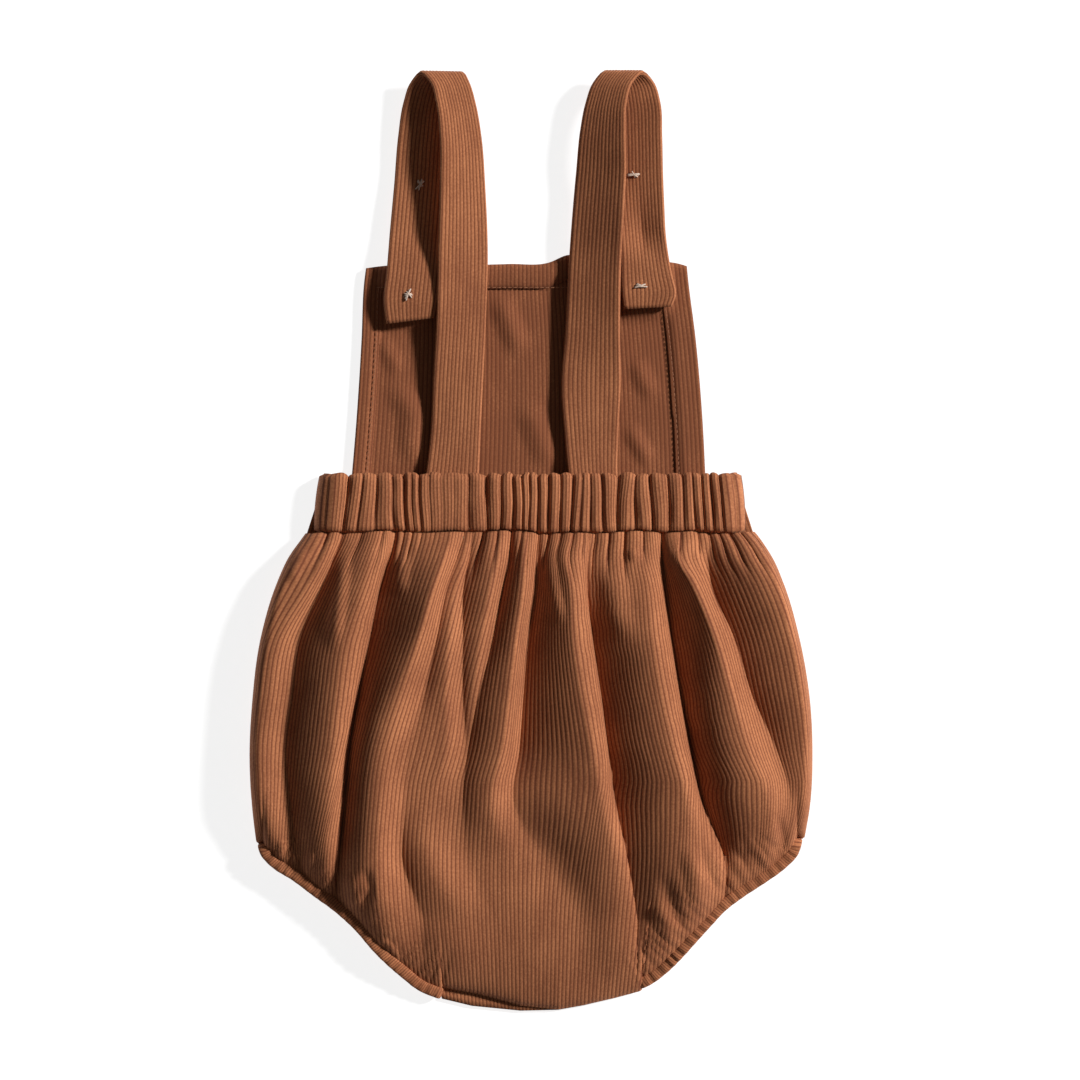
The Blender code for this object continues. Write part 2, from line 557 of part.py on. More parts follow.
def hem_sections(points, per_gather):
    """A gathered leg hem: an upper run on the back, a lower run on the surface, joined at both ends."""
    length = np.linalg.norm(np.diff(curve(points, 80), axis=0), axis=1).sum()
    line = leg_line(points, 200, HEM_WIDTH / 2)
    along = np.linspace(0, length, 200)
    lower_z = HEM_THICK / 2
    first_turn, last_turn = (HEM_UPPER_Z - lower_z) / 2, (HEM_CROTCH_Z - lower_z) / 2
    start, end = first_turn + HEM_THICK / 2, length - last_turn - HEM_THICK / 2
    gathers = int((end - start) / HEM_GATHER_PITCH)
    upper_s = np.linspace(start, end, gathers * per_gather + 1)
    lower_s = np.linspace(end, start, gathers * per_gather // 2 + 1)
    turn = np.linspace(-np.pi / 2, np.pi / 2, 7)[1:-1]

    def upper_z(s):
        return HEM_UPPER_Z + (HEM_CROTCH_Z - HEM_UPPER_Z) * ease((s - start - 0.62 * (end - start)) / (0.38 * (end - start)))

    far = np.stack([end + last_turn * np.cos(turn), (upper_z(end) + lower_z) / 2 - last_turn * np.sin(turn)], 1)
    near = np.stack([start - first_turn * np.cos(turn), (HEM_UPPER_Z + lower_z) / 2 + first_turn * np.sin(turn)], 1)
    path = np.concatenate([
        np.stack([upper_s, upper_z(upper_s)], 1), far,
        np.stack([lower_s, np.full(len(lower_s), lower_z)], 1), near,
    ])
    wave = np.zeros(len(path))
    wave[: len(upper_s)] = np.cos(2 * np.pi * np.arange(len(upper_s)) / per_gather)
    s, z = path.T
    plan = np.stack([np.interp(s, along, line[:, 0]), np.interp(s, along, line[:, 1])], 1)
    run = np.stack([np.interp(s + 0.5, along, line[:, k]) - np.interp(s - 0.5, along, line[:, k]) for k in (0, 1)], 1)
    run /= np.linalg.norm(run, axis=1)[:, None]
    side = np.stack([-run[:, 1], run[:, 0]], 1)
    side *= np.sign((side * ([0.0, -60.0] - plan)).sum(1))[:, None]
    ds, dz = np.roll(s, -1) - np.roll(s, 1), np.roll(z, -1) - np.roll(z, 1)
    size = np.hypot(ds, dz)
    up = np.concatenate([run * (-dz / size)[:, None], (ds / size)[:, None]], 1)
    side = np.concatenate([side, np.zeros((len(path), 1))], 1)
    centre = np.concatenate([plan, z[:, None]], 1)
    half_w, half_t = HEM_WIDTH / 2, HEM_THICK / 2
    # Across, towards the body, and out of the ring, as shares of half the width and half the thickness.
    outline = ((-1.0, 0.35), (-0.55, 1.0), (0.55, 1.0), (1.0, 0.35), (0.8, -1.0), (-0.8, -1.0))
    sections = []
    for across, out in outline:
        puff = wave * HEM_GATHER * (0.9 if out > 0.5 else 0.5 if across < 0 and out > 0 else 0)
        wide = np.where(across < 0, across * half_w + 0.5 - puff * 0.9, across * half_w)
        sections.append(centre + side * wide[:, None] + up * (out * half_t + puff)[:, None])
    sections = np.stack(sections, 1)
    sections[..., 2] = np.maximum(sections[..., 2], 0)
    return sections


def add_hem(name, points, finish, flip):
    sections = hem_sections(points, 3)
    add_tube(name, sections if flip else sections[:, ::-1], finish, True)


def add_button(name, x, y, finish):
    """A flat round button, its face down."""
    profile = ((6.6, 2.5), (7.5, 1.6), (7.5, 0.7), (6.7, 0.0))
    turn = np.linspace(0, 2 * np.pi, 17)[:-1]
    rings = [np.stack([r * np.cos(turn), r * np.sin(turn), np.full(16, z)], 1) for r, z in profile]
    made = add_tube(name, np.stack(rings[::-1]), finish, False)
    made.location = (x * MM, y * MM, 0)


def main():
    for old in list(bpy.data.objects):
        bpy.data.objects.remove(old, do_unlink=True)
    add_bib(material("bib_corduroy", CORDUROY_DARK, 0.9))
    add_facing(material("facing_corduroy", CORDUROY_DARK, 0.9))
    add_wall("front_body", *thicken(front_panel(FRONT_ROWS), CLOTH), material("front_corduroy", CORDUROY_DARK, 0.9))
    back = thicken(back_panel(BACK_COLUMNS, BACK_ROWS), CLOTH, level_rim=True)
    add_wall("back_body", *back, material("back_corduroy", CORDUROY, 0.9))
    add_tube("back_waistband", waistband_sections(4), material("waistband_corduroy", CORDUROY, 0.9), False)
    for name, rows in (("strap_left", LEFT_STRAP), ("strap_right", RIGHT_STRAP)):
        strap = thicken(strap_grid(rows, 34, 5)[::-1], STRAP_CLOTH)
        add_wall(name, *strap, material(name + "_corduroy", CORDUROY, 0.9))
    add_hem("leg_hem_left", LEFT_LEG, material("left_hem_corduroy", CORDUROY, 0.9), False)
    add_hem("leg_hem_right", RIGHT_LEG, material("right_hem_corduroy", CORDUROY, 0.9), True)
    for name, x, y in BUTTONS:
        add_button(name, x, y, material(name + "_finish", BUTTON_BROWN, 0.45))


main()
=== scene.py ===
import math

import bmesh
import bpy
import numpy as np
from mathutils import Matrix


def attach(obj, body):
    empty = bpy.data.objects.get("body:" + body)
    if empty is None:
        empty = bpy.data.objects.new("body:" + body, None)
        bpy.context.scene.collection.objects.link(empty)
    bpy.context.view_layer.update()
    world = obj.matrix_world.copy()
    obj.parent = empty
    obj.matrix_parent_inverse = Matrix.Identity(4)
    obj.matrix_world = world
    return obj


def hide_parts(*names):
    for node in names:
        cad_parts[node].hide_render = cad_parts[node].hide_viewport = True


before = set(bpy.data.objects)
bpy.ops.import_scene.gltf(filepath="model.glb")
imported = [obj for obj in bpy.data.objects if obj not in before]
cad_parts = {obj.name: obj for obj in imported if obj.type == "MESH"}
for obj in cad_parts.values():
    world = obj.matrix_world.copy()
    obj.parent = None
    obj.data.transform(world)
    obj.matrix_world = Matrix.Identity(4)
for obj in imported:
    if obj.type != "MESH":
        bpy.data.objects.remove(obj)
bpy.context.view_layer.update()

# A baby's bubble romper in fine rust corduroy, laid flat with its back uppermost. Lengths in the
# tables and in the functions are millimetres: x to the right, y from crotch to straps, z up.
MM = 0.001

CLOTH = 1.6
BIB_CLOTH = 1.5
FACING_CLOTH = 1.2
STRAP_CLOTH = 2.5
GAP = 0.3

# The cloth: one wale is a rib of pile with the groove beside it.
WALE = 1.95
WALE_POINTS = 4
WALE_HEIGHT = 0.13
RIB_ROUNDNESS = 0.55
PILE_HEIGHT = 0.1
PILE_SIZE = 1.3
BODY_WALES = 166
BODY_ROWS = 104
BODY_INNER_STEP = (8, 4)
FRONT_WALES = 126
FRONT_ROWS = 40
BIB_WALES = 80
BIB_ROW_STEP = 2.2
STRAP_WALES = 12
STRAP_ROWS = 170
BAND_GATHER = 1.25

# The waist: its seam, the casing over it with its pleats, and how they run on into the back panel.
SEAM_Y = 3.5
SEAM_WAVE = 0.8
BAND_TOP_Y = 30.2
BAND_INNER_Z = 7.0
BAND_WALL = 1.6
PLEAT_HEIGHT = 3.1
PANEL_PLEATS_DEEPER = 1.3
PANEL_PLEATS_WIDER = 1.035
SEAM_SINKS = 1.3
SEAM_SINKS_OVER = 3.2
SEAM_WAVE_OVER = 14.0
LEG_GATHER = 0.9
LEG_GATHER_OVER = 24.0
LEG_GATHER_FROM_SIDE = 12.0
EDGE_SLANT = 0.8
UNEVEN_HEIGHT = 0.35
UNEVEN_SIZE = 34.0
BAND_END_RADIUS = 4.5
FRONT_TOP_Y = 21.6
BIB_FOOT_Y = 22.0
BIB_TOP_Y = 125.0

# The leg hems, and how the panels' edges turn towards them and the side seams.
HEM_WIDTH = 5.5
HEM_THICK = 2.6
HEM_UPPER_Z = 10.0
HEM_CROTCH_Z = 4.7
HEM_FALLS_FROM = 0.62
HEM_CORNER = 0.5
HEM_GATHER = 0.34
HEM_TUCK = 1.4
GATHER_PITCH = 4.6
SIDE_ROUND = 4.0
LOWER_ROUND = 21.0
SIDE_SEAM_Z = 6.0
SIDE_RISES_FROM_Y = 4.0
SIDE_RISES_OVER = 16.0
CROTCH_HALF = 46.0
CORNER_FROM_X = 112.0
CORNER_OVER = 10.0
PAST_SIDE_X = 129.0
FRONT_CURL = 5.0

# The buttons and the bumps that they raise in the bib, their thread, and the stitches of the facing.
BUTTON_THICK = 2.5
BUMP_FLAT = 9.8
BUMP_SKIRT = 7.0
HOLE_RADIUS = 0.85
HOLE_APART = 1.35
KNOT_RADIUS = 0.36
STITCH_LENGTH = 2.4
STITCH_SHARE = 0.42
STITCH_RADIUS = 0.17
STITCH_INSET = 1.6
STITCH_SWAY = 0.09
STITCH_LIFT = 0.02

# The photograph's frame at the surface: its width and its middle.
VIEW_WIDTH = 493.8
VIEW_MIDDLE = (4.1, 0.1)
CAMERA_HEIGHT = 2500.0

# The light: its strength, how wide it looks in radians, its tilt in degrees, and the pale room.
SUN_ENERGY = 4.35
SUN_WIDTH = 0.14
SUN_TILT = (-20.0, 58.0, 0.0)
ROOM_COLOUR = (1.0, 0.99, 0.98, 1)
ROOM_STRENGTH = 0.085

# The side seams seen from above: y, left x, right x. The last three rows guide the cloth's grain only.
SIDES = (
    (21.6, -97.5, 96.5),
    (9.0, -99.5, 97.4),
    (3.2, -103.2, 102.4),
    (-8.0, -110.6, 110.0),
    (-20.0, -116.0, 115.2),
    (-45.0, -123.3, 122.4),
    (-75.0, -127.2, 127.3),
    (-98.0, -128.3, 128.3),
    (-120.0, -127.3, 127.3),
    (-137.0, -125.4, 124.6),
    (-160.0, -121.5, 121.0),
    (-185.0, -116.0, 116.0),
    (-217.0, -108.0, 108.0),
)

# The outer edge of each gathered leg hem, from the side seam to the crotch: x, y.
LEFT_LEG = (
    (-125.3, -138.6), (-123.2, -143.8), (-118.4, -149.0), (-108.8, -155.2), (-99.2, -162.4),
    (-89.6, -169.4), (-81.2, -177.0), (-71.3, -188.3), (-59.7, -199.2), (-51.0, -206.0), (-41.4, -210.0),
)
RIGHT_LEG = (
    (124.4, -136.2), (121.6, -143.8), (115.7, -149.9), (106.8, -156.3), (97.5, -162.4),
    (89.0, -168.8), (82.0, -176.2), (75.3, -183.6), (69.5, -190.2),
    (62.6, -197.2), (55.0, -203.0), (50.2, -205.4),
)
# The rounded crotch edge of the front panel, which the back panel's seam leaves bare on the left.
FRONT_CROTCH = (
    (-41.1, -209.4), (-27.0, -212.8), (-4.8, -215.0), (12.3, -214.6), (24.2, -212.5), (43.4, -207.8),
    (49.9, -205.6),
)
BACK_CROTCH = (
    (-41.1, -203.6), (-23.3, -206.8), (-5.0, -211.8), (12.3, -213.6), (24.2, -211.6), (38.0, -208.4),
    (49.9, -205.2),
)

# How high the back panel arches between its folds: y, z.
ARCH = (
    (3.2, 8.6), (-3.0, 10.6), (-10.0, 12.2), (-20.0, 13.2), (-40.0, 14.2), (-80.0, 14.8), (-120.0, 14.8),
    (-160.0, 13.6), (-195.0, 9.6), (-217.0, 7.0),
)

# The lines that run down the back panel from the waist, crests and feet of its folds in turn. Each has
# the way the cloth comes to it from the left, then its x and its height over the arch at every LINE_Y.
# The cloth swells up to a crest, steadily or steeply, and falls to a soft foot or over an edge.
LINE_Y = (2.0, -8.0, -20.0, -45.0, -70.0, -95.0, -120.0, -145.0, -172.0)
LINES = (
    ("left outer crest", "swell",
     (-90.5, -94.6, -101, -115.7, -120.2, -123, -121.6, -117.5, -105.6),
     (1.6, 3, 3.4, 3.2, 3.2, 3, 3.5, 3, 2)),
    ("left outer foot", "soft",
     (-85, -89.2, -94.2, -104.7, -107.9, -111.1, -108.8, -105.6, -98.8),
     (0, -0.8, -0.8, -0.5, -0.2, 0, 0, 0.5, 0)),
    ("left deep crest", "swell",
     (-68.1, -71.3, -75.4, -84.1, -87.8, -90.5, -92.1, -93.7, -95.6),
     (2.2, 4.6, 6, 8, 8.6, 8.2, 7.6, 5, 1)),
    ("left deep foot", "edge",
     (-64, -65.8, -69, -74, -79.2, -83.2, -85.4, -87.8, -90.5),
     (0, -0.8, -1, -1, -1, -0.8, -0.6, -0.4, 0)),
    ("left middle crest", "steep",
     (-37, -39.8, -44, -51.5, -60, -67.5, -69.5, -70.4, -70),
     (3, 7.5, 10.5, 11.5, 11, 10.5, 10, 8.5, 5)),
    ("left middle foot", "soft",
     (-31.5, -33.4, -37.5, -42.5, -48, -53.5, -56.2, -58.1, -48.5),
     (1.6, 3, 4, 6, 5.8, 6.8, 5, 2, 0.5)),
    ("left lip crest", "swell",
     (-29.7, -31.1, -34.3, -37.5, -39.3, -39.8, -48.5, -47.1, -32.5),
     (1.1, 3, 4.4, 7.4, 7.6, 6.6, 5.2, 4.5, 1.8)),
    ("left lip foot", "soft",
     (-26.1, -27.9, -30.2, -30.6, -30.6, -29.3, -31.5, -27.9, -14.2),
     (0.2, 0.4, 2.2, 4, 3.2, 2.8, 3.6, 1.2, 1.2)),
    ("faint crest", "swell",
     (-14.2, -15.5, -18.3, -23.3, -26.5, -28.8, -31.1, -27.4, -13.7),
     (2.2, 4.8, 6.6, 6.2, 4.4, 2.8, 3.6, 1.2, 1.2)),
    ("faint foot", "soft",
     (-8.7, -9.1, -11.9, -16.9, -23.3, -28.3, -30.6, -27, -13.3),
     (0, 0, 1, 3.4, 4, 2.8, 3.6, 1.2, 1.2)),
    ("centre crest", "swell",
     (-1.4, -2.7, -3.7, -7.3, -10.5, -13.7, -18.7, -11.9, -0.5),
     (2.2, 4.4, 6.2, 8, 8, 7.5, 6.2, 1.6, 1.0)),
    ("centre foot", "soft",
     (4.6, 3.7, 2.7, -0.9, -3.2, -5, -7.3, 6.4, 22.0),
     (0, -0.5, -0.5, -0.5, -0.5, -0.6, 2.2, 0.8, 0.6)),
    ("right middle crest", "steady",
     (18.3, 16, 17.8, 19.2, 22.9, 27.4, 31.5, 36.6, 39.8),
     (2.2, 5.4, 7.4, 9, 9.5, 10, 9.5, 5.6, 2.2)),
    ("right middle foot", "edge",
     (26.1, 25.1, 24.7, 27.4, 31.1, 34.3, 37.9, 43.4, 48),
     (0.2, 0.4, 0.4, -0.3, 0, 0.5, 0.8, 2, 0.5)),
    ("right deep crest", "swell",
     (49.8, 49.8, 52.1, 54.4, 58.5, 64, 70, 70, 72.7),
     (2.2, 3.2, 5.6, 9.5, 10, 10.8, 10.5, 9, 5)),
    ("right deep foot", "edge",
     (58.5, 59, 59.9, 63.1, 67.2, 71.8, 77.3, 87.3, 87.3),
     (0, -1, -2.4, -2.5, -2, -2, -1, 0, 0)),
    ("right outer crest", "steep",
     (67.2, 66.8, 73.2, 83.2, 90.1, 96.9, 106.5, 106.5, 102.4),
     (2.2, 5.4, 7, 9, 10.5, 10.5, 9, 5, 2)),
    ("right outer foot", "soft",
     (80.9, 80.9, 82.3, 92.8, 100.6, 111.6, 118.4, 113.8, 110.2),
     (0, -0.8, -0.8, 0.8, 1.6, 3.2, 5, 2, 0)),
    ("right side crest", "swell",
     (96.5, 101, 107.4, 116.6, 121.2, 123.9, 123, 120.7, 115.2),
     (2, 6, 8, 8, 7.5, 6, 5.3, 3, 1)),
)
# How soon the cloth rises towards a crest, near the waist and near the legs: 1 is all the way evenly.
SWELLS = {"steady": (1.25, 1.25), "swell": (1.5, 1.6), "steep": (1.1, 2.3)}
SWELL_FROM_Y = -35.0
SWELL_OVER = 65.0
GUIDING_LINES = (
    "left outer crest", "left deep crest", "left deep foot", "left middle crest", "centre crest",
    "centre foot", "right middle crest", "right middle foot", "right deep crest", "right deep foot",
    "right outer crest",
)
GUIDES_TO_Y = -110.0
STEADY_TO_Y = -112.0
PANEL_FOOT = -217.0
PANEL_EDGE_BELOW = -120.0
FOLD_FADE = 42.0
FOLD_DEPTH = 1.3
FLAT_FROM_Y = -85.0
FLAT_OVER = 95.0
FLAT_HALF = 70.0
FLAT_EASE = 75.0

# Small creases of the back panel above the legs: the route of each, its height and its half width.
BODY_CREASES = (
    (((-101, -3.6), (-105.2, -10), (-109.7, -20)), 1.3, 3.5),
    (((-82.3, -3.6), (-84.1, -10), (-86.4, -22), (-88.3, -38), (-90, -52)), 1.9, 5.0),
    (((8.7, -3.6), (9.1, -15.9), (11, -26), (14.3, -40)), 1.5, 4.5),
    (((35.2, -8), (37.5, -22.8), (39.3, -34), (43.9, -48)), 1.7, 9.0),
    (((46.2, -3.6), (47.1, -10)), 1.2, 4.0),
    (((75.4, -3.6), (75.9, -10), (77.3, -15.9)), 1.4, 3.5),
    (((-57.6, -3.6), (-58.5, -12), (-60.0, -26)), 1.5, 5.5),
    (((-81.8, -149.9), (-81.4, -159.9), (-80.0, -169.1)), 1.8, 5.5),
    (((-75.4, -147.1), (-73.2, -157.6), (-76.4, -170.0)), -1.3, 4.0),
    (((-112.5, -134.8), (-114.8, -147.1)), 1.2, 3.0),
    (((-105.6, -137.1), (-109.3, -151.7)), 1.3, 3.0),
    (((-98.8, -139.4), (-103.3, -154.4)), 1.2, 3.0),
    (((-78.2, -171.4), (-72.7, -180.9), (-65.4, -184.2), (-59.0, -196.5)), 1.4, 3.0),
    (((76.2, -139.3), (84.6, -163.1)), -1.3, 5.0),
    (((110.6, -122.2), (116.1, -142.6)), -1.2, 3.5),
    (((70.7, -135.6), (75.9, -157.6), (78.2, -171.4)), 1.6, 6.5),
    (((85.3, -142.5), (94.6, -162.2)), 1.4, 6.0),
    (((53.7, -162.2), (68.1, -182.5)), 1.4, 6.5),
    (((59.3, -149.4), (70.0, -183.9)), -1.2, 6.0),
    (((92.6, -138.6), (107.0, -153.7)), -1.3, 5.5),
)

# The waistband's pleats: x at its top edge, x at its seam, and how deep the dip on its right is.
PLEATS = (
    (-91.4, -93.7, 0.9), (-82.3, -85.5, 0.5), (-77.7, -80.0, 0.6), (-69.0, -68.6, 0.6), (-63.1, -61.7, 1.0),
    (-58.5, -57.2, 0.4), (-55.3, -54.0, 0.6), (-51.2, -50.3, 0.25), (-45.3, -45.3, 0.1), (-39.3, -39.3, 0.1),
    (-34.3, -34.3, 0.6), (-25.6, -24.7, 1.0), (-16.9, -17.4, 0.7), (-11.0, -11.9, 0.8), (-5.9, -5.5, 0.4),
    (-2.7, -2.3, 0.5), (1.4, 0.5, 0.8), (5.5, 5.5, 1.0), (11.0, 10.1, 0.6), (16.5, 16.5, 0.8),
    (22.9, 21.0, 0.3), (25.6, 25.1, 0.6), (30.6, 31.5, 0.7), (35.7, 37.5, 1.0), (47.1, 44.8, 0.7),
    (52.6, 53.9, 1.0), (59.9, 61.3, 0.8), (69.0, 70.4, 0.6), (74.1, 75.9, 0.6), (78.6, 80.9, 0.6),
    (82.8, 84.6, 0.9), (86.9, 90.1, 0.6), (91.4, 94.2, 0.4),
)
BAND_ENDS = ((-96.6, 96.0), (-99.4, 98.0))
PLEAT_FADE = 24.0
PLEAT_WANDER = 0.55
PLEAT_VARIES = 0.35

# The bib's outline: y, left x, right x, and its top edge: x, y.
BIB_SIDES = (
    (22.0, -82.5, 80.0), (55.6, -79.7, 78.3), (92.0, -77.4, 75.2),
    (118.0, -76.2, 71.9), (131.0, -74.4, 70.6),
)
BIB_TOP = (
    (-77.0, 124.0), (-70.0, 125.0), (-40.0, 125.4), (-10.0, 126.2), (8.0, 126.8),
    (17.0, 130.3), (29.0, 127.6), (45.0, 126.6), (68.0, 126.2), (73.0, 124.6),
)
# Soft creases of the bib: the route of each, its height and its half width.
BIB_CREASES = (
    (((-16.0, 114.0), (-12.0, 104.0), (-4.1, 82.4)), 1.5, 8.0),
    (((-3.0, 66.0), (1.8, 52.4), (6.4, 38.7), (8.7, 30.0)), 1.3, 9.0),
    (((-57.6, 77.0), (-59.9, 68.7), (-54.5, 57.5), (-54.7, 47.0), (-54.0, 36.0), (-58.0, 28.0)), 1.5, 9.0),
    (((43.6, 54.0), (49.5, 43.2), (56.0, 33.0)), 1.3, 6.0),
    (((48.0, 84.0), (51.0, 74.0), (57.5, 64.0)), 1.2, 6.5),
    (((-70.0, 92.0), (-64.0, 84.0), (-60.0, 74.0)), 1.0, 6.0),
)
# The facing turned over the bib's edges: how far it reaches in from the left, the right and the top.
FACING_LEFT = 8.4
FACING_RIGHT = 13.6
FACING_TOP = 11.2
# Its inner edge thins out over the taper to a share of its thickness. Its length, all round, is cut flat.
FACING_TAPER = 4.5
FACING_EDGE = 0.15

# Buttons: the two that hold the straps to the bib, and a spare higher on each strap.
BUTTONS = (
    ("button_bib_left", -55.8, 112.1),
    ("button_bib_right", 49.8, 115.8),
    ("button_spare_left", -50.7, 162.4),
    ("button_spare_right", 47.1, 166.5),
)
BIB_BUTTONS = BUTTONS[:2]

# Each strap from its seam under the waistband, over its loop and down to its buttoned end:
# left edge x, y, z, right edge x, y, z, and the dip of its middle.
LEFT_STRAP = (
    (-49.4, 21.0, 5.4, -24.5, 21.0, 5.4, 0), (-48.0, 30.3, 5.4, -23.8, 30.3, 5.4, 0),
    (-45.9, 48.6, 4.6, -23.0, 48.6, 4.5, 0), (-44.8, 71.0, 4.8, -21.9, 71.0, 4.5, 0),
    (-43.0, 104.0, 9.4, -20.4, 104.0, 5.6, 0), (-42.4, 129.0, 11.4, -19.7, 129.0, 6.4, 0),
    (-41.5, 160.0, 13.6, -20.8, 160.0, 7.6, 0), (-41.5, 184.0, 14.6, -22.6, 184.0, 8.8, 0),
    (-43.2, 199.0, 14.6, -25.2, 199.0, 9.4, 0), (-46.2, 208.8, 13.0, -28.0, 208.4, 9.4, 0),
    (-50.7, 212.8, 10.4, -30.5, 212.6, 7.9, 0), (-55.0, 208.6, 7.7, -33.5, 208.6, 6.0, 0),
    (-58.2, 199.9, 5.8, -35.6, 199.9, 4.8, 0), (-60.7, 184.3, 4.6, -37.2, 184.3, 4.3, 0),
    (-62.5, 162.4, 4.15, -38.6, 162.4, 4.15, 0), (-64.5, 140.0, 5.4, -40.2, 140.0, 5.4, 0),
    (-65.9, 122.0, 7.5, -41.6, 122.0, 7.5, 0), (-67.2, 108.9, 7.7, -43.0, 108.9, 7.7, 0),
    (-66.0, 98.8, 6.4, -44.2, 101.5, 6.4, 0),
)
RIGHT_STRAP = (
    (17.8, 21.0, 5.4, 40.2, 21.0, 5.4, 0), (16.9, 30.3, 5.4, 39.5, 30.3, 5.4, 0),
    (15.2, 48.6, 4.5, 39.9, 48.6, 5.2, 0), (13.8, 71.0, 4.5, 40.9, 71.0, 6.6, 0),
    (15.6, 95.0, 4.8, 40.6, 95.0, 9.6, 0), (17.2, 125.0, 5.6, 41.0, 125.0, 12.6, 0),
    (19.0, 150.0, 6.4, 42.4, 150.0, 14.4, 0), (20.6, 168.0, 7.2, 43.3, 168.0, 15.2, 0),
    (22.4, 186.6, 8.2, 43.1, 186.6, 15.6, 0), (24.8, 199.0, 8.8, 43.6, 199.0, 15.2, 0),
    (28.4, 208.6, 8.8, 46.6, 208.6, 13.4, 0), (33.0, 213.2, 7.7, 51.5, 212.9, 10.8, 0),
    (36.0, 208.8, 6.0, 56.0, 208.8, 7.8, 0), (37.5, 200.0, 4.9, 58.9, 200.0, 8.0, 0.2),
    (38.5, 184.0, 4.3, 59.8, 184.0, 8.4, 0.3), (38.8, 166.5, 4.2, 60.2, 166.5, 8.2, 0),
    (39.5, 152.0, 5.0, 60.8, 152.0, 8.4, 0.8), (40.5, 139.0, 6.9, 61.5, 139.0, 8.2, 2.4),
    (40.9, 129.0, 7.8, 63.0, 128.0, 7.6, 0.1), (41.0, 121.0, 7.8, 64.6, 120.0, 7.8, 0),
    (41.3, 113.0, 7.8, 66.2, 112.3, 7.8, 0), (42.2, 105.5, 7.0, 64.3, 106.6, 6.9, 0),
)


# Curves and heights

def smooth(rows, at, column=1):
    """A smooth curve through a table's rows, its first column against another."""
    rows = np.array([(row[0], row[column]) for row in rows], float)
    rows = rows[np.argsort(rows[:, 0])]
    x, y = rows.T
    slope = np.gradient(y, x)
    at = np.clip(at, x[0], x[-1])
    i = np.clip(np.searchsorted(x, at) - 1, 0, len(x) - 2)
    step = x[i + 1] - x[i]
    t = (at - x[i]) / step
    rise = y[i + 1] - y[i]
    a = slope[i] * step - rise
    b = rise - slope[i + 1] * step
    return y[i] + t * rise + t * (1 - t) * (a * (1 - t) + b * t)


def run_of(line):
    """The length along a line of points, up to each of them."""
    return np.concatenate([[0], np.cumsum(np.linalg.norm(np.diff(line, axis=0), axis=1))])


def curve(points, count):
    """Evenly spaced points along a smooth curve through the given ones."""
    points = np.array(points, float)
    run = run_of(points)
    fine = np.linspace(0, run[-1], 20 * len(points))
    line = np.stack([smooth(np.stack([run, c], 1), fine) for c in points.T], 1)
    length = run_of(line)
    return np.stack([np.interp(np.linspace(0, length[-1], count), length, c) for c in line.T], 1)


def inward(line, centre_x):
    """The level direction square to a line of plan points, towards the garment's middle."""
    run = np.gradient(line[:, :2], axis=0)
    across = np.stack([-run[:, 1], run[:, 0]], 1)
    across /= np.linalg.norm(across, axis=1)[:, None]
    return across * np.sign((across * ([centre_x, -60.0] - line[:, :2])).sum(1))[:, None]


def ease(t):
    t = np.clip(t, 0, 1)
    return t * t * (3 - 2 * t)


def quarter(distance, radius):
    """The rise of a quarter round, from 0 at an edge to 1 at its radius."""
    return np.sqrt(1 - (1 - np.clip(distance / radius, 0, 1)) ** 2)


def grid_normals(grid):
    """The upward normals of a grid whose rows run down and whose columns run to the right."""
    along, across = np.gradient(grid, axis=0), np.gradient(grid, axis=1)
    normal = np.cross(along, across)
    return normal / np.linalg.norm(normal, axis=2)[..., None]


def creases(x, y, table):
    """The height of soft ridges and troughs along the routes of a table, each dying away at its ends."""
    lift = np.zeros(np.broadcast(x, y).shape)
    for route, height, width in table:
        line = curve(route, 60)
        near = (np.abs(x - line[:, 0].mean()) < np.ptp(line[:, 0]) / 2 + width) & (
            np.abs(y - line[:, 1].mean()) < np.ptp(line[:, 1]) / 2 + width)
        distance = np.hypot(x[near][:, None] - line[:, 0], y[near][:, None] - line[:, 1])
        share = np.argmin(distance, axis=-1) / 59
        ends = ease(np.minimum(share, 1 - share) * 3)
        lift[near] += height * ease(1 - distance.min(axis=-1) / width) * ends
    return lift


def uneven(x, y, size, seed):
    """Soft unevenness between -1 and 1, about a given size across."""
    chance = np.random.default_rng(seed)
    total = np.zeros(np.broadcast(x, y).shape)
    for _ in range(7):
        turn, phase = chance.uniform(0, 2 * np.pi, 2)
        wave = size * chance.uniform(0.7, 1.6)
        total = total + np.sin((x * np.cos(turn) + y * np.sin(turn)) * 2 * np.pi / wave + phase)
    return total / 4


def edge_fades(shape):
    """1 inside a grid and 0 along its edges, where its wales lie down."""
    fade = np.ones(shape)
    fade[[0, -1]] = 0
    fade[:, [0, -1]] = 0
    return fade


def add_object(name, data):
    made = bpy.data.objects.new(name, data)
    bpy.context.collection.objects.link(made)
    return made


# Cloth meshes

class Patch:
    """A grid of points of cloth, each with its wale, its length along it and how far the wales stand."""

    def __init__(self, points, wale, along, raised=1.0):
        shape = points.shape[:2]
        self.points = points
        self.wale = np.broadcast_to(wale, shape)
        self.along = np.broadcast_to(along, shape)
        self.raised = np.broadcast_to(raised, shape)

    def part(self, rows, columns):
        return Patch(*[a[rows, columns] for a in (self.points, self.wale, self.along, self.raised)])


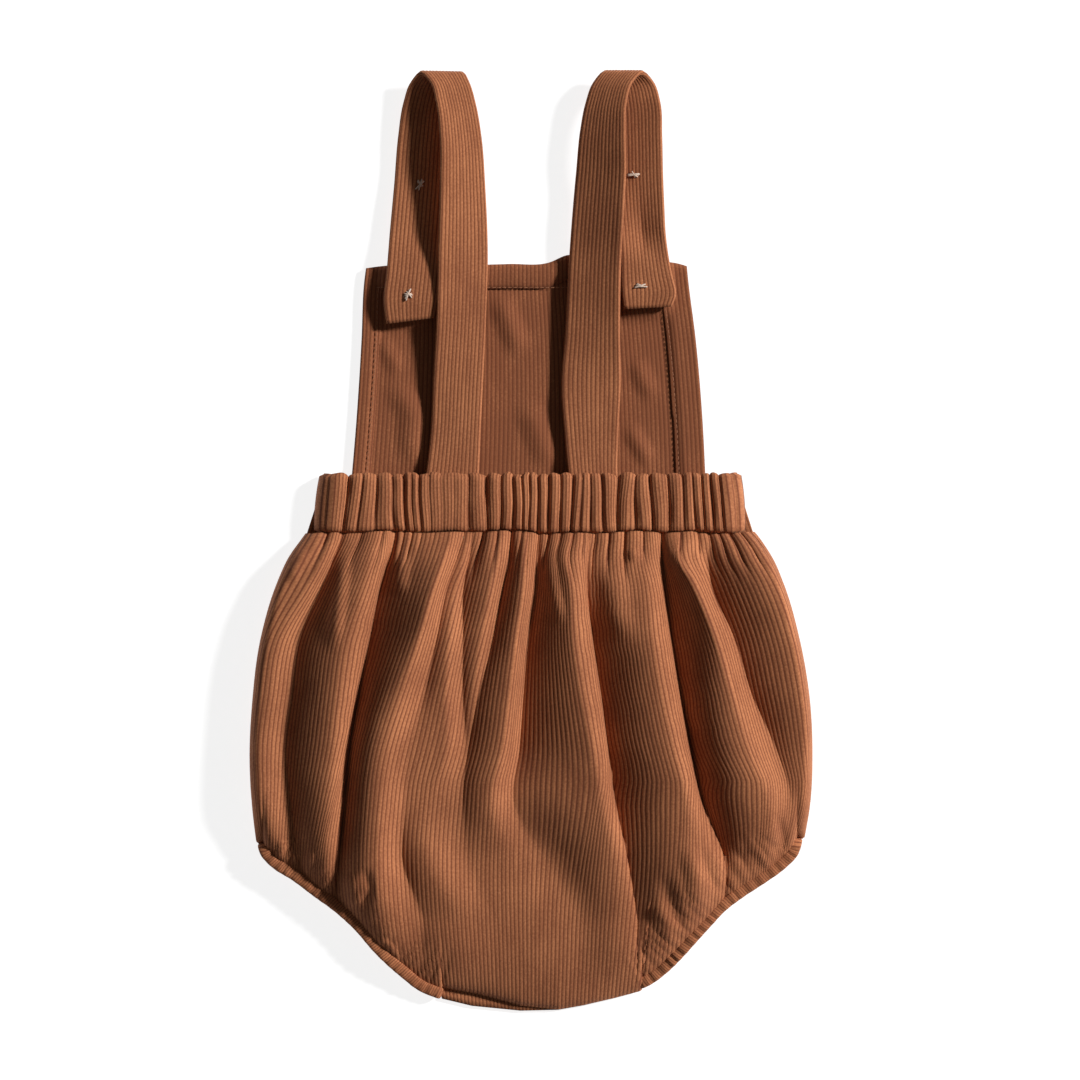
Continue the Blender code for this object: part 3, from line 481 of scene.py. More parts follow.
class Cloth:
    """One piece of cloth, gathered from its grids and the rims between them."""

    def __init__(self, name):
        self.name = name
        self.patches = []
        self.faces = []
        self.count = 0

    def add(self, patch, cells=None):
        """Adds a grid, or some of its cells, and gives the places of its points."""
        rows, columns = patch.points.shape[:2]
        index = np.arange(rows * columns).reshape(rows, columns) + self.count
        corners = np.stack([index[:-1, :-1], index[1:, :-1], index[1:, 1:], index[:-1, 1:]], -1)
        self.faces += corners[np.ones(corners.shape[:2], bool) if cells is None else cells].tolist()
        self.patches.append(patch)
        self.count += rows * columns
        return index

    def rim(self, fine, coarse):
        """Joins an edge of one grid to the same edge of another, which may have fewer points."""
        step = (len(fine) - 1) // (len(coarse) - 1)
        for k in range(len(coarse) - 1):
            along = fine[k * step:(k + 1) * step + 1].tolist()
            self.faces.append([*along, int(coarse[k + 1]), int(coarse[k])])

    def cap(self, ring):
        self.faces.append(ring.tolist())

    def make(self, merge=True):
        """The piece as an object, with its wales raised."""
        points = np.concatenate([p.points.reshape(-1, 3) for p in self.patches]) * MM
        wale = np.concatenate([p.wale.ravel() for p in self.patches])
        along = np.concatenate([p.along.ravel() for p in self.patches])
        raised = np.concatenate([p.raised.ravel() for p in self.patches])
        mesh = bpy.data.meshes.new(self.name)
        mesh.from_pydata(points.tolist(), [], self.faces)
        corner = np.zeros(len(mesh.loops), np.int32)
        mesh.loops.foreach_get("vertex_index", corner)
        weave = mesh.uv_layers.new(name="weave")
        places = np.stack([wale[corner], along[corner]], 1)
        weave.uv.foreach_set("vector", places.astype(np.float32).ravel())
        for name, values in (("wale", wale), ("raised", raised)):
            mesh.attributes.new(name, "FLOAT", "POINT").data.foreach_set("value", values.astype(np.float32))
        shaped = bmesh.new()
        shaped.from_mesh(mesh)
        if merge:
            bmesh.ops.remove_doubles(shaped, verts=shaped.verts, dist=1e-7)
        loose = [v for v in shaped.verts if not v.link_faces]
        bmesh.ops.delete(shaped, geom=loose, context="VERTS")
        shaped.to_mesh(mesh)
        shaped.free()
        mesh.shade_smooth()
        return raise_wales(add_object(self.name, mesh))


def grid_cloth(name, upper, lower, cells=None):
    """A closed wall between an upper and a lower grid of the same size, or some of their cells."""
    cloth = Cloth(name)
    top = cloth.add(upper, cells)
    if cells is None:
        cells = np.ones((top.shape[0] - 1, top.shape[1] - 1), bool)
    under = cloth.add(lower.part(slice(None), slice(None, None, -1)), cells[:, ::-1])[:, ::-1]
    padded = np.pad(cells, 1)
    # Each open side of a cell gets a rim: its step to the neighbour, and its two corners in order.
    sides = (
        ((-1, 0), (0, 1), (0, 0)), ((1, 0), (1, 0), (1, 1)),
        ((0, -1), (0, 0), (1, 0)), ((0, 1), (1, 1), (0, 1)),
    )
    for step, start, end in sides:
        beside = padded[1 + step[0]:1 + step[0] + cells.shape[0], 1 + step[1]:1 + step[1] + cells.shape[1]]
        for r, c in zip(*np.nonzero(cells & ~beside)):
            a, b = (r + start[0], c + start[1]), (r + end[0], c + end[1])
            cloth.faces.append([int(top[b]), int(top[a]), int(under[a]), int(under[b])])
    return cloth.make(merge=False)


def tube_cloth(name, patch, ring):
    """A tube whose sections are the rows of a grid, joined into a ring or capped at its ends."""
    cloth = Cloth(name)
    index = cloth.add(patch)
    if not ring:
        cloth.cap(index[0, :-1])
        cloth.cap(index[-1, :-1][::-1])
    return cloth.make()


class Nodes:
    """A Geometry Nodes tree with named inputs, which ends in real geometry with its material."""

    def __init__(self, name, inputs, output):
        self.tree = bpy.data.node_groups.new(name, "GeometryNodeTree")
        for title, kind in inputs:
            self.tree.interface.new_socket(title, in_out="INPUT", socket_type="NodeSocket" + kind)
        self.tree.interface.new_socket(output, in_out="OUTPUT", socket_type="NodeSocketGeometry")
        self.given = self.tree.nodes.new("NodeGroupInput").outputs

    def node(self, kind, settings=(), sockets=()):
        """A node of any kind: its settings, then the values or links of its sockets. Gives its outputs."""
        made = self.tree.nodes.new(kind)
        for setting, value in dict(settings).items():
            setattr(made, setting, value)
        for place, value in dict(sockets).items():
            if isinstance(value, bpy.types.NodeSocket):
                self.tree.links.new(value, made.inputs[place])
            else:
                made.inputs[place].default_value = value
        return made.outputs

    def math(self, operation, *values):
        return self.node("ShaderNodeMath", {"operation": operation}, dict(enumerate(values)))[0]

    def finish(self, shape):
        real = self.node("GeometryNodeRealizeInstances", {}, {0: shape})[0]
        sockets = {"Geometry": real, "Material": self.given["Material"]}
        dressed = self.node("GeometryNodeSetMaterial", {}, sockets)[0]
        self.tree.links.new(dressed, self.tree.nodes.new("NodeGroupOutput").inputs[0])
        return self.tree


def wales_tree():
    """Geometry Nodes that lift the wales of a piece of cloth out of its surface, each a round rib."""
    nodes = Nodes("corduroy wales", (
        ("Cloth", "Geometry"), ("Wale height", "Float"), ("Pile height", "Float"), ("Pile size", "Float"),
        ("Material", "Material"),
    ), "Cloth")
    given = nodes.given

    def attribute(name):
        settings = {"data_type": "FLOAT"}
        return nodes.node("GeometryNodeInputNamedAttribute", settings, {"Name": name})["Attribute"]

    hump = nodes.math("ABSOLUTE", nodes.math("SINE", nodes.math("MULTIPLY", attribute("wale"), math.pi)))
    round_rib = nodes.math("POWER", hump, RIB_ROUNDNESS)
    rib = nodes.math("MULTIPLY", nodes.math("SUBTRACT", round_rib, 0.5), given["Wale height"])
    sockets = {
        "Vector": nodes.node("GeometryNodeInputPosition")[0],
        "Scale": nodes.math("DIVIDE", 1.0, given["Pile size"]),
    }
    pile = nodes.node("ShaderNodeTexNoise", {}, sockets)[0]
    nap = nodes.math("MULTIPLY", nodes.math("SUBTRACT", pile, 0.5), given["Pile height"])
    lift = nodes.math("MULTIPLY", nodes.math("ADD", rib, nap), attribute("raised"))
    normal = nodes.node("GeometryNodeInputNormal")[0]
    outward = nodes.node("ShaderNodeVectorMath", {"operation": "SCALE"}, {0: normal, "Scale": lift})[0]
    moved = nodes.node("GeometryNodeSetPosition", {}, {"Geometry": given["Cloth"], "Offset": outward})[0]
    return nodes.finish(moved)


def with_tree(made, tree, settings):
    """Runs a Geometry Nodes tree on an object and keeps the result as its plain mesh."""
    modifier = made.modifiers.new("shape", "NODES")
    modifier.node_group = tree
    for item in tree.interface.items_tree:
        if item.in_out == "INPUT" and item.name in settings:
            modifier[item.identifier] = settings[item.name]
    made.update_tag()
    bpy.context.view_layer.update()
    graph = bpy.context.evaluated_depsgraph_get()
    shaped = made.evaluated_get(graph)
    mesh = bpy.data.meshes.new_from_object(shaped, preserve_all_data_layers=True, depsgraph=graph)
    made.modifiers.remove(modifier)
    if made.type == "MESH":
        made.data = mesh
        return made
    plain = add_object(made.name + "_plain", mesh)
    name = made.name
    bpy.data.objects.remove(made)
    plain.name = name
    return plain


def raise_wales(made):
    settings = {
        "Wale height": WALE_HEIGHT * MM, "Pile height": PILE_HEIGHT * MM, "Pile size": PILE_SIZE * MM,
        # The bib and its facing take the darker copy: painted shade.
        "Material": SHADED_CORDUROY if made.name in SHADED_PIECES else CORDUROY,
    }
    return with_tree(made, WALES, settings)


# Materials

class Value:
    """A socket in a material. Arithmetic on it adds Math nodes."""

    def __init__(self, finish, socket):
        self.finish = finish
        self.socket = socket

    def math(self, operation, *values):
        return self.finish.node("ShaderNodeMath", {"operation": operation}, dict(enumerate(values)))

    def __add__(self, other):
        return self.math("ADD", self, other)

    def __radd__(self, other):
        return self.math("ADD", other, self)

    def __sub__(self, other):
        return self.math("SUBTRACT", self, other)

    def __rsub__(self, other):
        return self.math("SUBTRACT", other, self)

    def __mul__(self, other):
        return self.math("MULTIPLY", self, other)

    def __rmul__(self, other):
        return self.math("MULTIPLY", other, self)

    def wave(self):
        """How far it is from a whole number, as a round hump from 0 to 1 and back."""
        return self.math("ABSOLUTE", self.math("SINE", self * math.pi))

    def whole(self):
        return self.math("FLOOR", self)

    def between(self, low, high):
        """0 below the low value, 1 above the high one, and a soft step between."""
        settings = {"interpolation_type": "SMOOTHSTEP"}
        sockets = {"Value": self, "From Min": low, "From Max": high}
        return self.finish.node("ShaderNodeMapRange", settings, sockets)


class Finish:
    """A material with one Principled shader, and the nodes that vary it."""

    def __init__(self, name, **constants):
        self.material = bpy.data.materials.new(name)
        self.material.use_nodes = True
        self.tree = self.material.node_tree
        self.shader = self.tree.nodes["Principled BSDF"]
        for socket, value in constants.items():
            self.set(socket.replace("_", " ").title().replace("Ior", "IOR"), value)

    def node(self, kind, settings=(), sockets=(), output=0):
        """A node of any kind: its settings, then the values or links of its sockets."""
        made = self.tree.nodes.new(kind)
        for name, value in dict(settings).items():
            setattr(made, name, value)
        for name, value in dict(sockets).items():
            self.feed(made.inputs[name], value)
        return Value(self, made.outputs[output])

    def feed(self, socket, value):
        if isinstance(value, Value):
            self.tree.links.new(value.socket, socket)
        elif socket.type == "RGBA":
            socket.default_value = (*value, 1)
        else:
            socket.default_value = value

    def set(self, name, value):
        self.feed(self.shader.inputs[name], value)

    def mix(self, factor, first, second):
        """One colour laid over another."""
        made = self.tree.nodes.new("ShaderNodeMix")
        made.data_type = "RGBA"
        self.feed(made.inputs[0], factor)
        self.feed(made.inputs[6], first)
        self.feed(made.inputs[7], second)
        return Value(self, made.outputs[2])

    def noise(self, vector, scale, detail=2.0, roughness=0.5):
        sockets = {"Vector": vector, "Scale": scale, "Detail": detail, "Roughness": roughness}
        return self.node("ShaderNodeTexNoise", {}, sockets)

    def place(self):
        """The point's place in the garment, in metres."""
        return self.node("ShaderNodeTexCoord", output="Object")

    def vector(self, x, y, z=0.0):
        return self.node("ShaderNodeCombineXYZ", {}, {"X": x, "Y": y, "Z": z})

    def bump(self, height, distance, strength):
        sockets = {"Height": height, "Distance": distance, "Strength": strength}
        self.set("Normal", self.node("ShaderNodeBump", {}, sockets))


PILE_LIGHT = (0.56, 0.208, 0.083)
PILE_DARK = (0.27, 0.082, 0.028)
# Painted shade: the grooves between the wales are coloured darker than the pile.
PAINTED_GROOVE_SHADE = (0.17, 0.042, 0.013)


def corduroy_finish(name, shade):
    """Rust corduroy: soft pile on the wales, painted shade in the grooves, uneven along each wale."""
    finish = Finish(name, metallic=0.0, sheen_weight=0.08, sheen_roughness=0.5, sheen_tint=(0.95, 0.5, 0.3))
    weave = finish.node("ShaderNodeUVMap", {"uv_map": "weave"})
    split = finish.tree.nodes.new("ShaderNodeSeparateXYZ")
    finish.feed(split.inputs[0], weave)
    wale, along = Value(finish, split.outputs["X"]), Value(finish, split.outputs["Y"])
    rib = wale.wave()
    own = wale.whole() * 7.31
    streak = finish.noise(finish.vector(own, along * 0.035), 1.0, 2.0)
    tuft = finish.noise(finish.vector(wale * 2.1, along * 0.95), 1.0, 4.0, 0.65)
    nap = finish.noise(finish.place(), 900.0, 3.0, 0.6)
    blotch = finish.noise(finish.place(), 42.0, 3.0)
    # Shade takes this much off the pile's tone: painted shade, where a piece is coloured darker all over.
    tone = (streak * 0.40 + tuft * 0.60 + nap * 0.35 + blotch * 0.50 - shade).between(0.62, 1.26)
    pile = finish.mix(tone, PILE_DARK, PILE_LIGHT)
    # The mask between the grooves and the pile: the grooves get painted shade.
    depth = (rib + tuft * 0.36).between(0.22, 1.02)
    finish.set("Base Color", finish.mix(depth, PAINTED_GROOVE_SHADE, pile))
    finish.set("Roughness", 0.98 - tuft * 0.16)
    finish.bump(rib * 0.16 + tuft * 0.35 + nap * 0.25, 0.0003, 0.5)
    return finish.material


def thread_finish():
    """Brown sewing thread, with its twist."""
    finish = Finish("brown_thread", metallic=0.0, sheen_weight=0.2)
    twist = finish.noise(finish.place(), 2600.0, 2.0)
    finish.set("Base Color", finish.mix(twist, (0.30, 0.105, 0.042), (0.46, 0.19, 0.09)))
    finish.set("Roughness", 0.62 + twist * 0.2)
    finish.bump(twist, 0.0002, 0.6)
    return finish.material


def knot_finish():
    """The pale ends of the button thread."""
    finish = Finish("pale_thread", metallic=0.0, sheen_weight=0.2)
    twist = finish.noise(finish.place(), 2200.0, 2.0)
    finish.set("Base Color", finish.mix(twist, (0.50, 0.34, 0.25), (0.82, 0.68, 0.56)))
    finish.set("Roughness", 0.6 + twist * 0.25)
    finish.bump(twist, 0.0002, 0.6)
    return finish.material


def button_finish():
    """A brown resin button with soft streaks, like horn."""
    finish = Finish("brown_button", metallic=0.0, ior=1.5, coat_roughness=0.12)
    place = finish.place()
    swirl = finish.noise(place, 210.0, 4.0, 0.6)
    fine = finish.noise(place, 1500.0, 2.0)
    streak = (swirl + fine * 0.12).between(0.40, 0.72)
    finish.set("Base Color", finish.mix(streak, (0.085, 0.034, 0.016), (0.26, 0.125, 0.058)))
    finish.set("Roughness", 0.30 + fine * 0.14)
    finish.set("Coat Weight", 0.25 + swirl * 0.2)
    finish.bump(fine, 0.0001, 0.25)
    return finish.material


def floor_finish():
    """A matt white table top."""
    finish = Finish("white_table", metallic=0.0, emission_strength=0.86)
    grain = finish.noise(finish.place(), 300.0, 3.0)
    finish.set("Base Color", finish.mix(grain, (0.32, 0.32, 0.32), (0.35, 0.35, 0.35)))
    finish.set("Emission Color", finish.mix(grain, (0.98, 0.98, 0.98), (1.0, 1.0, 1.0)))
    finish.set("Roughness", 0.75 + grain * 0.1)
    return finish.material


# The bib and its facing get a darker copy of the corduroy: painted shade on these two pieces.
CORDUROY = corduroy_finish("rust_corduroy", 0.0)
SHADED_CORDUROY = corduroy_finish("rust_corduroy_painted_shade", 0.2)
SHADED_PIECES = ("bib_panel", "facing")
THREAD = thread_finish()
PALE_THREAD = knot_finish()
HORN = button_finish()
WALES = wales_tree()


def dress(made, *nodes, slot="corduroy"):
    """Puts a finished piece in the place of its plain solids, where it has any."""
    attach(made, "root")
    if nodes:
        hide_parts(*nodes)
    return made


# The body

def side_seam(y):
    return smooth(SIDES, y, 1) + CLOTH / 2, smooth(SIDES, y, 2) - CLOTH / 2


def seam_height(y):
    """The height of the side seam, which comes down to the front panel at the waist."""
    low = CLOTH + GAP
    return low + (SIDE_SEAM_Z - low) * ease((SIDE_RISES_FROM_Y - y) / SIDE_RISES_OVER)


def line_x(places, y):
    return smooth(tuple(zip(LINE_Y, places)), y)


def fold_height(x, y):
    """The height of the folds over the arch, as the cloth goes from each line to the next."""
    before, level = side_seam(y)[0], line_x(LINES[0][3], y)
    total = level
    for name, way, places, heights in LINES:
        at, height = line_x(places, y), line_x(heights, y)
        t = np.clip((x - before) / (at - before), 0, 1)
        if way == "soft":
            share = ease(t)
        elif way == "edge":
            share = 1 - np.sqrt(1 - t * t)
        else:
            waist, legs = SWELLS[way]
            share = 1 - (1 - t) ** (waist + (legs - waist) * ease((SWELL_FROM_Y - y) / SWELL_OVER))
        if way == "steady":
            share = share + (ease(t) - share) * ease((STEADY_TO_Y - y) / FOLD_FADE)
        total = total + (height - level) * share
        before, level = at, height
    return FOLD_DEPTH * total * ease((y - PANEL_FOOT) / FOLD_FADE)


def back_height(x, y):
    """The middle of the back panel's wall, before its lower edge turns down."""
    left, right = side_seam(y)
    spread = np.abs(np.where(x < 0, x / left, x / right))
    top = smooth(ARCH, y) * (1 - 0.2 * spread**3) + fold_height(x, y)
    seam = seam_height(y)
    return seam + (top - seam) * quarter(np.minimum(x - left, right - x), SIDE_ROUND)


def grain_lines(columns):
    """Plan x of the back panel's grain lines at a ladder of heights.

    The lines keep to the crests and feet of the main folds and share the cloth between them evenly.
    """
    ladder = np.linspace(SEAM_Y - GAP, PANEL_FOOT, 56)
    half = (1 - np.cos(np.linspace(0, np.pi, 801))) / 2
    left, right = side_seam(ladder)
    pins = [left]
    for name, way, places, heights in LINES:
        if name in GUIDING_LINES:
            pins.append(line_x(places, np.maximum(ladder, GUIDES_TO_Y)))
    pins = np.array([*pins, right])
    runs = []
    for k, y in enumerate(ladder):
        x = left[k] + (right[k] - left[k]) * half
        z = back_height(x, y)
        run = np.concatenate([[0], np.cumsum(np.hypot(np.diff(x), np.diff(z)))])
        runs.append((x, run, np.interp(pins[:, k], x, run)))
    places = np.median([at_pins for x, run, at_pins in runs[10:30]], axis=0)
    counts = np.diff(np.round(places / places[-1] * columns)).astype(int)
    lines = []
    for x, run, at_pins in runs:
        stops = [np.linspace(a, b, n + 1)[:-1] for a, b, n in zip(at_pins, at_pins[1:], counts)]
        lines.append(np.interp(np.append(np.concatenate(stops), at_pins[-1]), run, x))
    lines = np.array(lines)
    # Below the folds the cloth lies flat, its wales upright and a full wale apart near the middle.
    apart = (np.arange(columns + 1) - columns / 2) * WALE / WALE_POINTS
    upright = np.where(np.abs(apart) < FLAT_HALF, apart, np.sign(apart) * (
        FLAT_HALF + FLAT_EASE * (1 - np.exp(-(np.abs(apart) - FLAT_HALF) / FLAT_EASE))))
    flat = ease((FLAT_FROM_Y - ladder) / FLAT_OVER)[:, None]
    middle = np.interp(0.5, np.linspace(0, 1, columns + 1), lines[len(ladder) // 2])
    lines = lines * (1 - flat) + (middle + upright) * flat
    share = (lines - lines[:, :1]) / (lines[:, -1:] - lines[:, :1])
    return ladder, left[:, None] + (right - left)[:, None] * share


def panel_rows(ladder, lines, edge, top_y, rows):
    """Rows of plan points that run down the grain lines and end at the panel's lower edge."""
    columns = np.arange(lines.shape[1])

    def grain(y):
        place = np.interp(-y, -ladder, np.arange(len(ladder)))
        i = np.minimum(place.astype(int), len(ladder) - 2)
        t = place - i
        return lines[i, columns] * (1 - t) + lines[i + 1, columns] * t

    low, high = np.full(len(columns), PANEL_FOOT), np.full(len(columns), PANEL_EDGE_BELOW)
    for _ in range(40):
        middle = (low + high) / 2
        above = middle > np.interp(grain(middle), edge[:, 0], edge[:, 1])
        low, high = np.where(above, low, middle), np.where(above, middle, high)
    step = np.linspace(0, 1, rows)
    step = 0.45 * step + 0.55 * (1 - np.cos(np.pi * step)) / 2
    y = top_y + (high - top_y) * step[:, None]
    x = np.array([grain(row) for row in y])
    return x, y


def leg_seam(points, inset):
    """Where a body panel ends along one leg, with the corner that it turns at the side seam."""
    line = curve(points, 60)
    line = line + inward(line, 0.0) * inset
    run = line[0] - line[1]
    run *= HEM_CORNER / np.linalg.norm(run)
    corner = curve(points, 60)[0] + run
    side = np.array([np.sign(corner[0]) * PAST_SIDE_X, corner[1]])
    return np.stack([side, corner, line[0] + run, *line])


def lower_edge(crotch, inset):
    """The lower edge of a body panel, from one leg's seam round the crotch to the other's."""
    left, right = leg_seam(LEFT_LEG, inset), leg_seam(RIGHT_LEG, inset)[::-1]
    left = left[left[:, 0] < crotch[0][0] - 0.2]
    right = right[right[:, 0] > crotch[-1][0] + 0.2]
    left_end = (crotch[0][0] - 0.2, left[-1, 1] - 0.4)
    right_end = (crotch[-1][0] + 0.2, right[0, 1] - 0.4)
    return np.stack([*left, left_end, *crotch, right_end, *right])


def hem_height(share):
    """The height of a hem's upper run at a share of its length from the side seam."""
    return HEM_UPPER_Z + (HEM_CROTCH_Z - HEM_UPPER_Z) * ease((share - HEM_FALLS_FROM) / (1 - HEM_FALLS_FROM))


def edge_height(x):
    """How high the back panel's lower edge ends: under the hems, and on the front at the crotch."""
    low = CLOTH + GAP
    height = np.full(x.shape, low)
    for points, side in ((LEFT_LEG, -1), (RIGHT_LEG, 1)):
        line = curve(points, 60)
        share = np.interp(x * side, line[::-1, 0] * side, np.linspace(1, 0, 60))
        under = hem_height(share) - (HEM_THICK + CLOTH) / 2 - 2 * GAP
        height = np.where(x * side > CROTCH_HALF, under, height)
    corner = ease((np.abs(x) - CORNER_FROM_X) / CORNER_OVER)
    return np.maximum(height - (height - SIDE_SEAM_Z) * corner, low)


def seam_wave(x):
    """How far the waist seam wanders up and down along its length."""
    return SEAM_WAVE * uneven(x, 0 * x, 31.0, 5)


def pleat_stations(column):
    """Where the pleats' crests lie, from end to end: column 0 at the band's top edge, 1 at its seam."""
    return np.array([BAND_ENDS[column][0], *[pleat[column] for pleat in PLEATS], BAND_ENDS[column][1]])


def pleat_dips(x, stations):
    """The dips between the waistband's pleats at x, where their crests lie at the given stations."""
    dips = np.array([0.3, *[p[2] for p in PLEATS]])
    place = np.interp(x, stations, np.arange(len(stations)))
    i = np.minimum(place.astype(int), len(stations) - 2)
    from_crest = np.minimum(place - i, 1 - (place - i)) * 2
    return dips[i] * (1 - np.sqrt(1 - 0.98 * from_crest**1.9))


def gather_wave(at, seed):
    """An uneven row of gathers along a length, from 0 in the dips to 1 on the crests."""
    chance = np.random.default_rng(seed)
    stops = np.cumsum(GATHER_PITCH * chance.uniform(0.65, 1.45, 60))
    depths = chance.uniform(0.45, 1.0, 60)
    place = np.interp(at, stops, np.arange(60))
    i = np.minimum(place.astype(int), 58)
    t = place - i
    depth = depths[i] * (1 - t) + depths[i + 1] * t
    return depth * (1 + np.cos(2 * np.pi * t)) / 2


def near_line(x, y, line):
    """The distance of plan points from a line, and how far along it they lie."""
    away, along = np.full(x.shape, 1e9), np.zeros(x.shape)
    run = run_of(line)
    for point, length in zip(line, run):
        distance = np.hypot(x - point[0], y - point[1])
        closer = distance < away
        away, along = np.where(closer, distance, away), np.where(closer, length, along)
    return away, along


def back_panel(columns, rows):
    """The gathered back: folds from the waist, pleats at the seam, gathers at the legs."""
    ladder, lines = grain_lines(columns)
    edge = lower_edge(BACK_CROTCH, HEM_WIDTH - HEM_TUCK)
    x, y = panel_rows(ladder, lines, edge, SEAM_Y - GAP, rows)
    z = back_height(x, y) + creases(x, y, BODY_CREASES) + UNEVEN_HEIGHT * uneven(x, y, UNEVEN_SIZE, 4)
    below = SEAM_Y - y
    stations = pleat_stations(1) * PANEL_PLEATS_WIDER
    dips = pleat_dips(x[0], stations)
    fade = ease(1 - below / (PLEAT_FADE * (1 + PLEAT_VARIES * uneven(x[:1], y[:1] * 0, 23.0, 8))))
    z = z - PANEL_PLEATS_DEEPER * PLEAT_HEIGHT * dips * fade
    z = z - SEAM_SINKS * (1 - quarter(below, SEAM_SINKS_OVER))
    for points, seed in ((LEFT_LEG, 21), (RIGHT_LEG, 22)):
        line = curve(points, 120)
        away, along = near_line(x, y, line)
        reach = ease(1 - (away - HEM_WIDTH) / LEG_GATHER_OVER)
        reach = reach * ease(along / LEG_GATHER_FROM_SIDE)
        z = z - LEG_GATHER * (1 - gather_wave(along, seed)) * reach
    clear = (y - np.interp(x, edge[:, 0], edge[:, 1])) * EDGE_SLANT
    end = edge_height(x)
    z = end + (z - end) * quarter(clear, LOWER_ROUND)
    y = y + seam_wave(x) * ease(1 - below / SEAM_WAVE_OVER)
    return np.stack([x, y, z], 2)


def down_length(grid):
    steps = np.linalg.norm(np.diff(grid, axis=0), axis=2)
    return np.concatenate([np.zeros((1, grid.shape[1])), np.cumsum(steps, axis=0)])


def make_back():
    grid = back_panel(BODY_WALES * WALE_POINTS, BODY_ROWS + 1)
    out = grid_normals(grid)
    out[:, 0, 2] = out[:, -1, 2] = out[-1, :, 2] = 0
    out /= np.linalg.norm(out, axis=2)[..., None]
    wale = np.arange(grid.shape[1]) / WALE_POINTS
    along = down_length(grid)
    fade = ease(np.minimum(np.arange(BODY_ROWS + 1), np.arange(BODY_ROWS + 1)[::-1]) / 2.0)[:, None]
    outer = Patch(grid + out * CLOTH / 2, wale, along, fade)
    every = (slice(None, None, BODY_INNER_STEP[1]), slice(None, None, BODY_INNER_STEP[0]))
    inner = Patch(grid - out * CLOTH / 2, wale, along, 0.0).part(*every)
    cloth = Cloth("back_panel")
    top = cloth.add(outer)
    under = cloth.add(inner.part(slice(None), slice(None, None, -1)))[:, ::-1]
    cloth.rim(top[0][::-1], under[0][::-1])
    cloth.rim(top[-1], under[-1])
    cloth.rim(top[:, 0], under[:, 0])
    cloth.rim(top[::-1, -1], under[::-1, -1])
    made = dress(cloth.make(merge=False), "back_body")


def make_front():
    """The front panel: flat on the surface, its sides curled up to the side seams."""
    curl = np.linspace(0, FRONT_CURL, 11) ** 1.4 * FRONT_CURL**-0.4
    edge = lower_edge(FRONT_CROTCH, HEM_WIDTH + GAP + CLOTH / 2)
    ladder = np.linspace(SEAM_Y - GAP, PANEL_FOOT, 24)
    lines = []
    for y in ladder:
        left, right = side_seam(y)
        inner = np.linspace(left + curl[-1], right - curl[-1], FRONT_WALES * WALE_POINTS)
        lines.append(np.concatenate([left + curl[:-1], inner, right - curl[:-1][::-1]]))
    x, y = panel_rows(ladder, np.array(lines), edge, SEAM_Y - GAP, FRONT_ROWS)
    left, right = side_seam(y)
    rise = np.maximum(seam_height(y) - GAP - CLOTH / 2, 0) * ease((SEAM_Y - GAP - y) / 14.0)
    z = CLOTH / 2 + rise * (1 - quarter(np.minimum(x - left, right - x), FRONT_CURL))
    grid = np.stack([x, y, z], 2)
    top = grid[:1].copy()
    top[..., 0] *= smooth(SIDES, FRONT_TOP_Y, 2) / smooth(SIDES, SEAM_Y - GAP, 2)
    top[..., 1] = FRONT_TOP_Y
    grid = np.concatenate([top, grid])
    out = grid_normals(grid) * (CLOTH - WALE_HEIGHT) / 2
    wale = (grid[len(grid) // 2, :, 0] - grid[len(grid) // 2, 0, 0]) / WALE
    along = down_length(grid)
    rest = np.array([0, 0, WALE_HEIGHT * 0.15])
    fade = edge_fades(grid.shape[:2])
    underside = grid - out + rest
    underside[..., 2] = np.maximum(underside[..., 2], WALE_HEIGHT / 2)
    under = Patch(underside, wale, along, fade)
    made = grid_cloth("front_panel", Patch(grid + out - rest, wale, along, fade), under)
    dress(made, "front_body")


# The waistband

def band_stations():
    """Places along the waistband's pleats, one wale point apart along the cloth."""
    tops, feet = pleat_stations(0), pleat_stations(1)
    x = np.linspace(tops[0], tops[-1], 4001)
    height = -PLEAT_HEIGHT * pleat_dips(x, tops)
    run = np.concatenate([[0], np.cumsum(np.hypot(np.diff(x), np.diff(height)))])
    count = int(run[-1] * BAND_GATHER / WALE) * WALE_POINTS
    number = np.arange(len(tops))
    place = np.interp(np.interp(np.linspace(0, run[-1], count + 1), run, x), tops, number)
    return np.interp(place, number, tops), np.interp(place, number, feet), tops


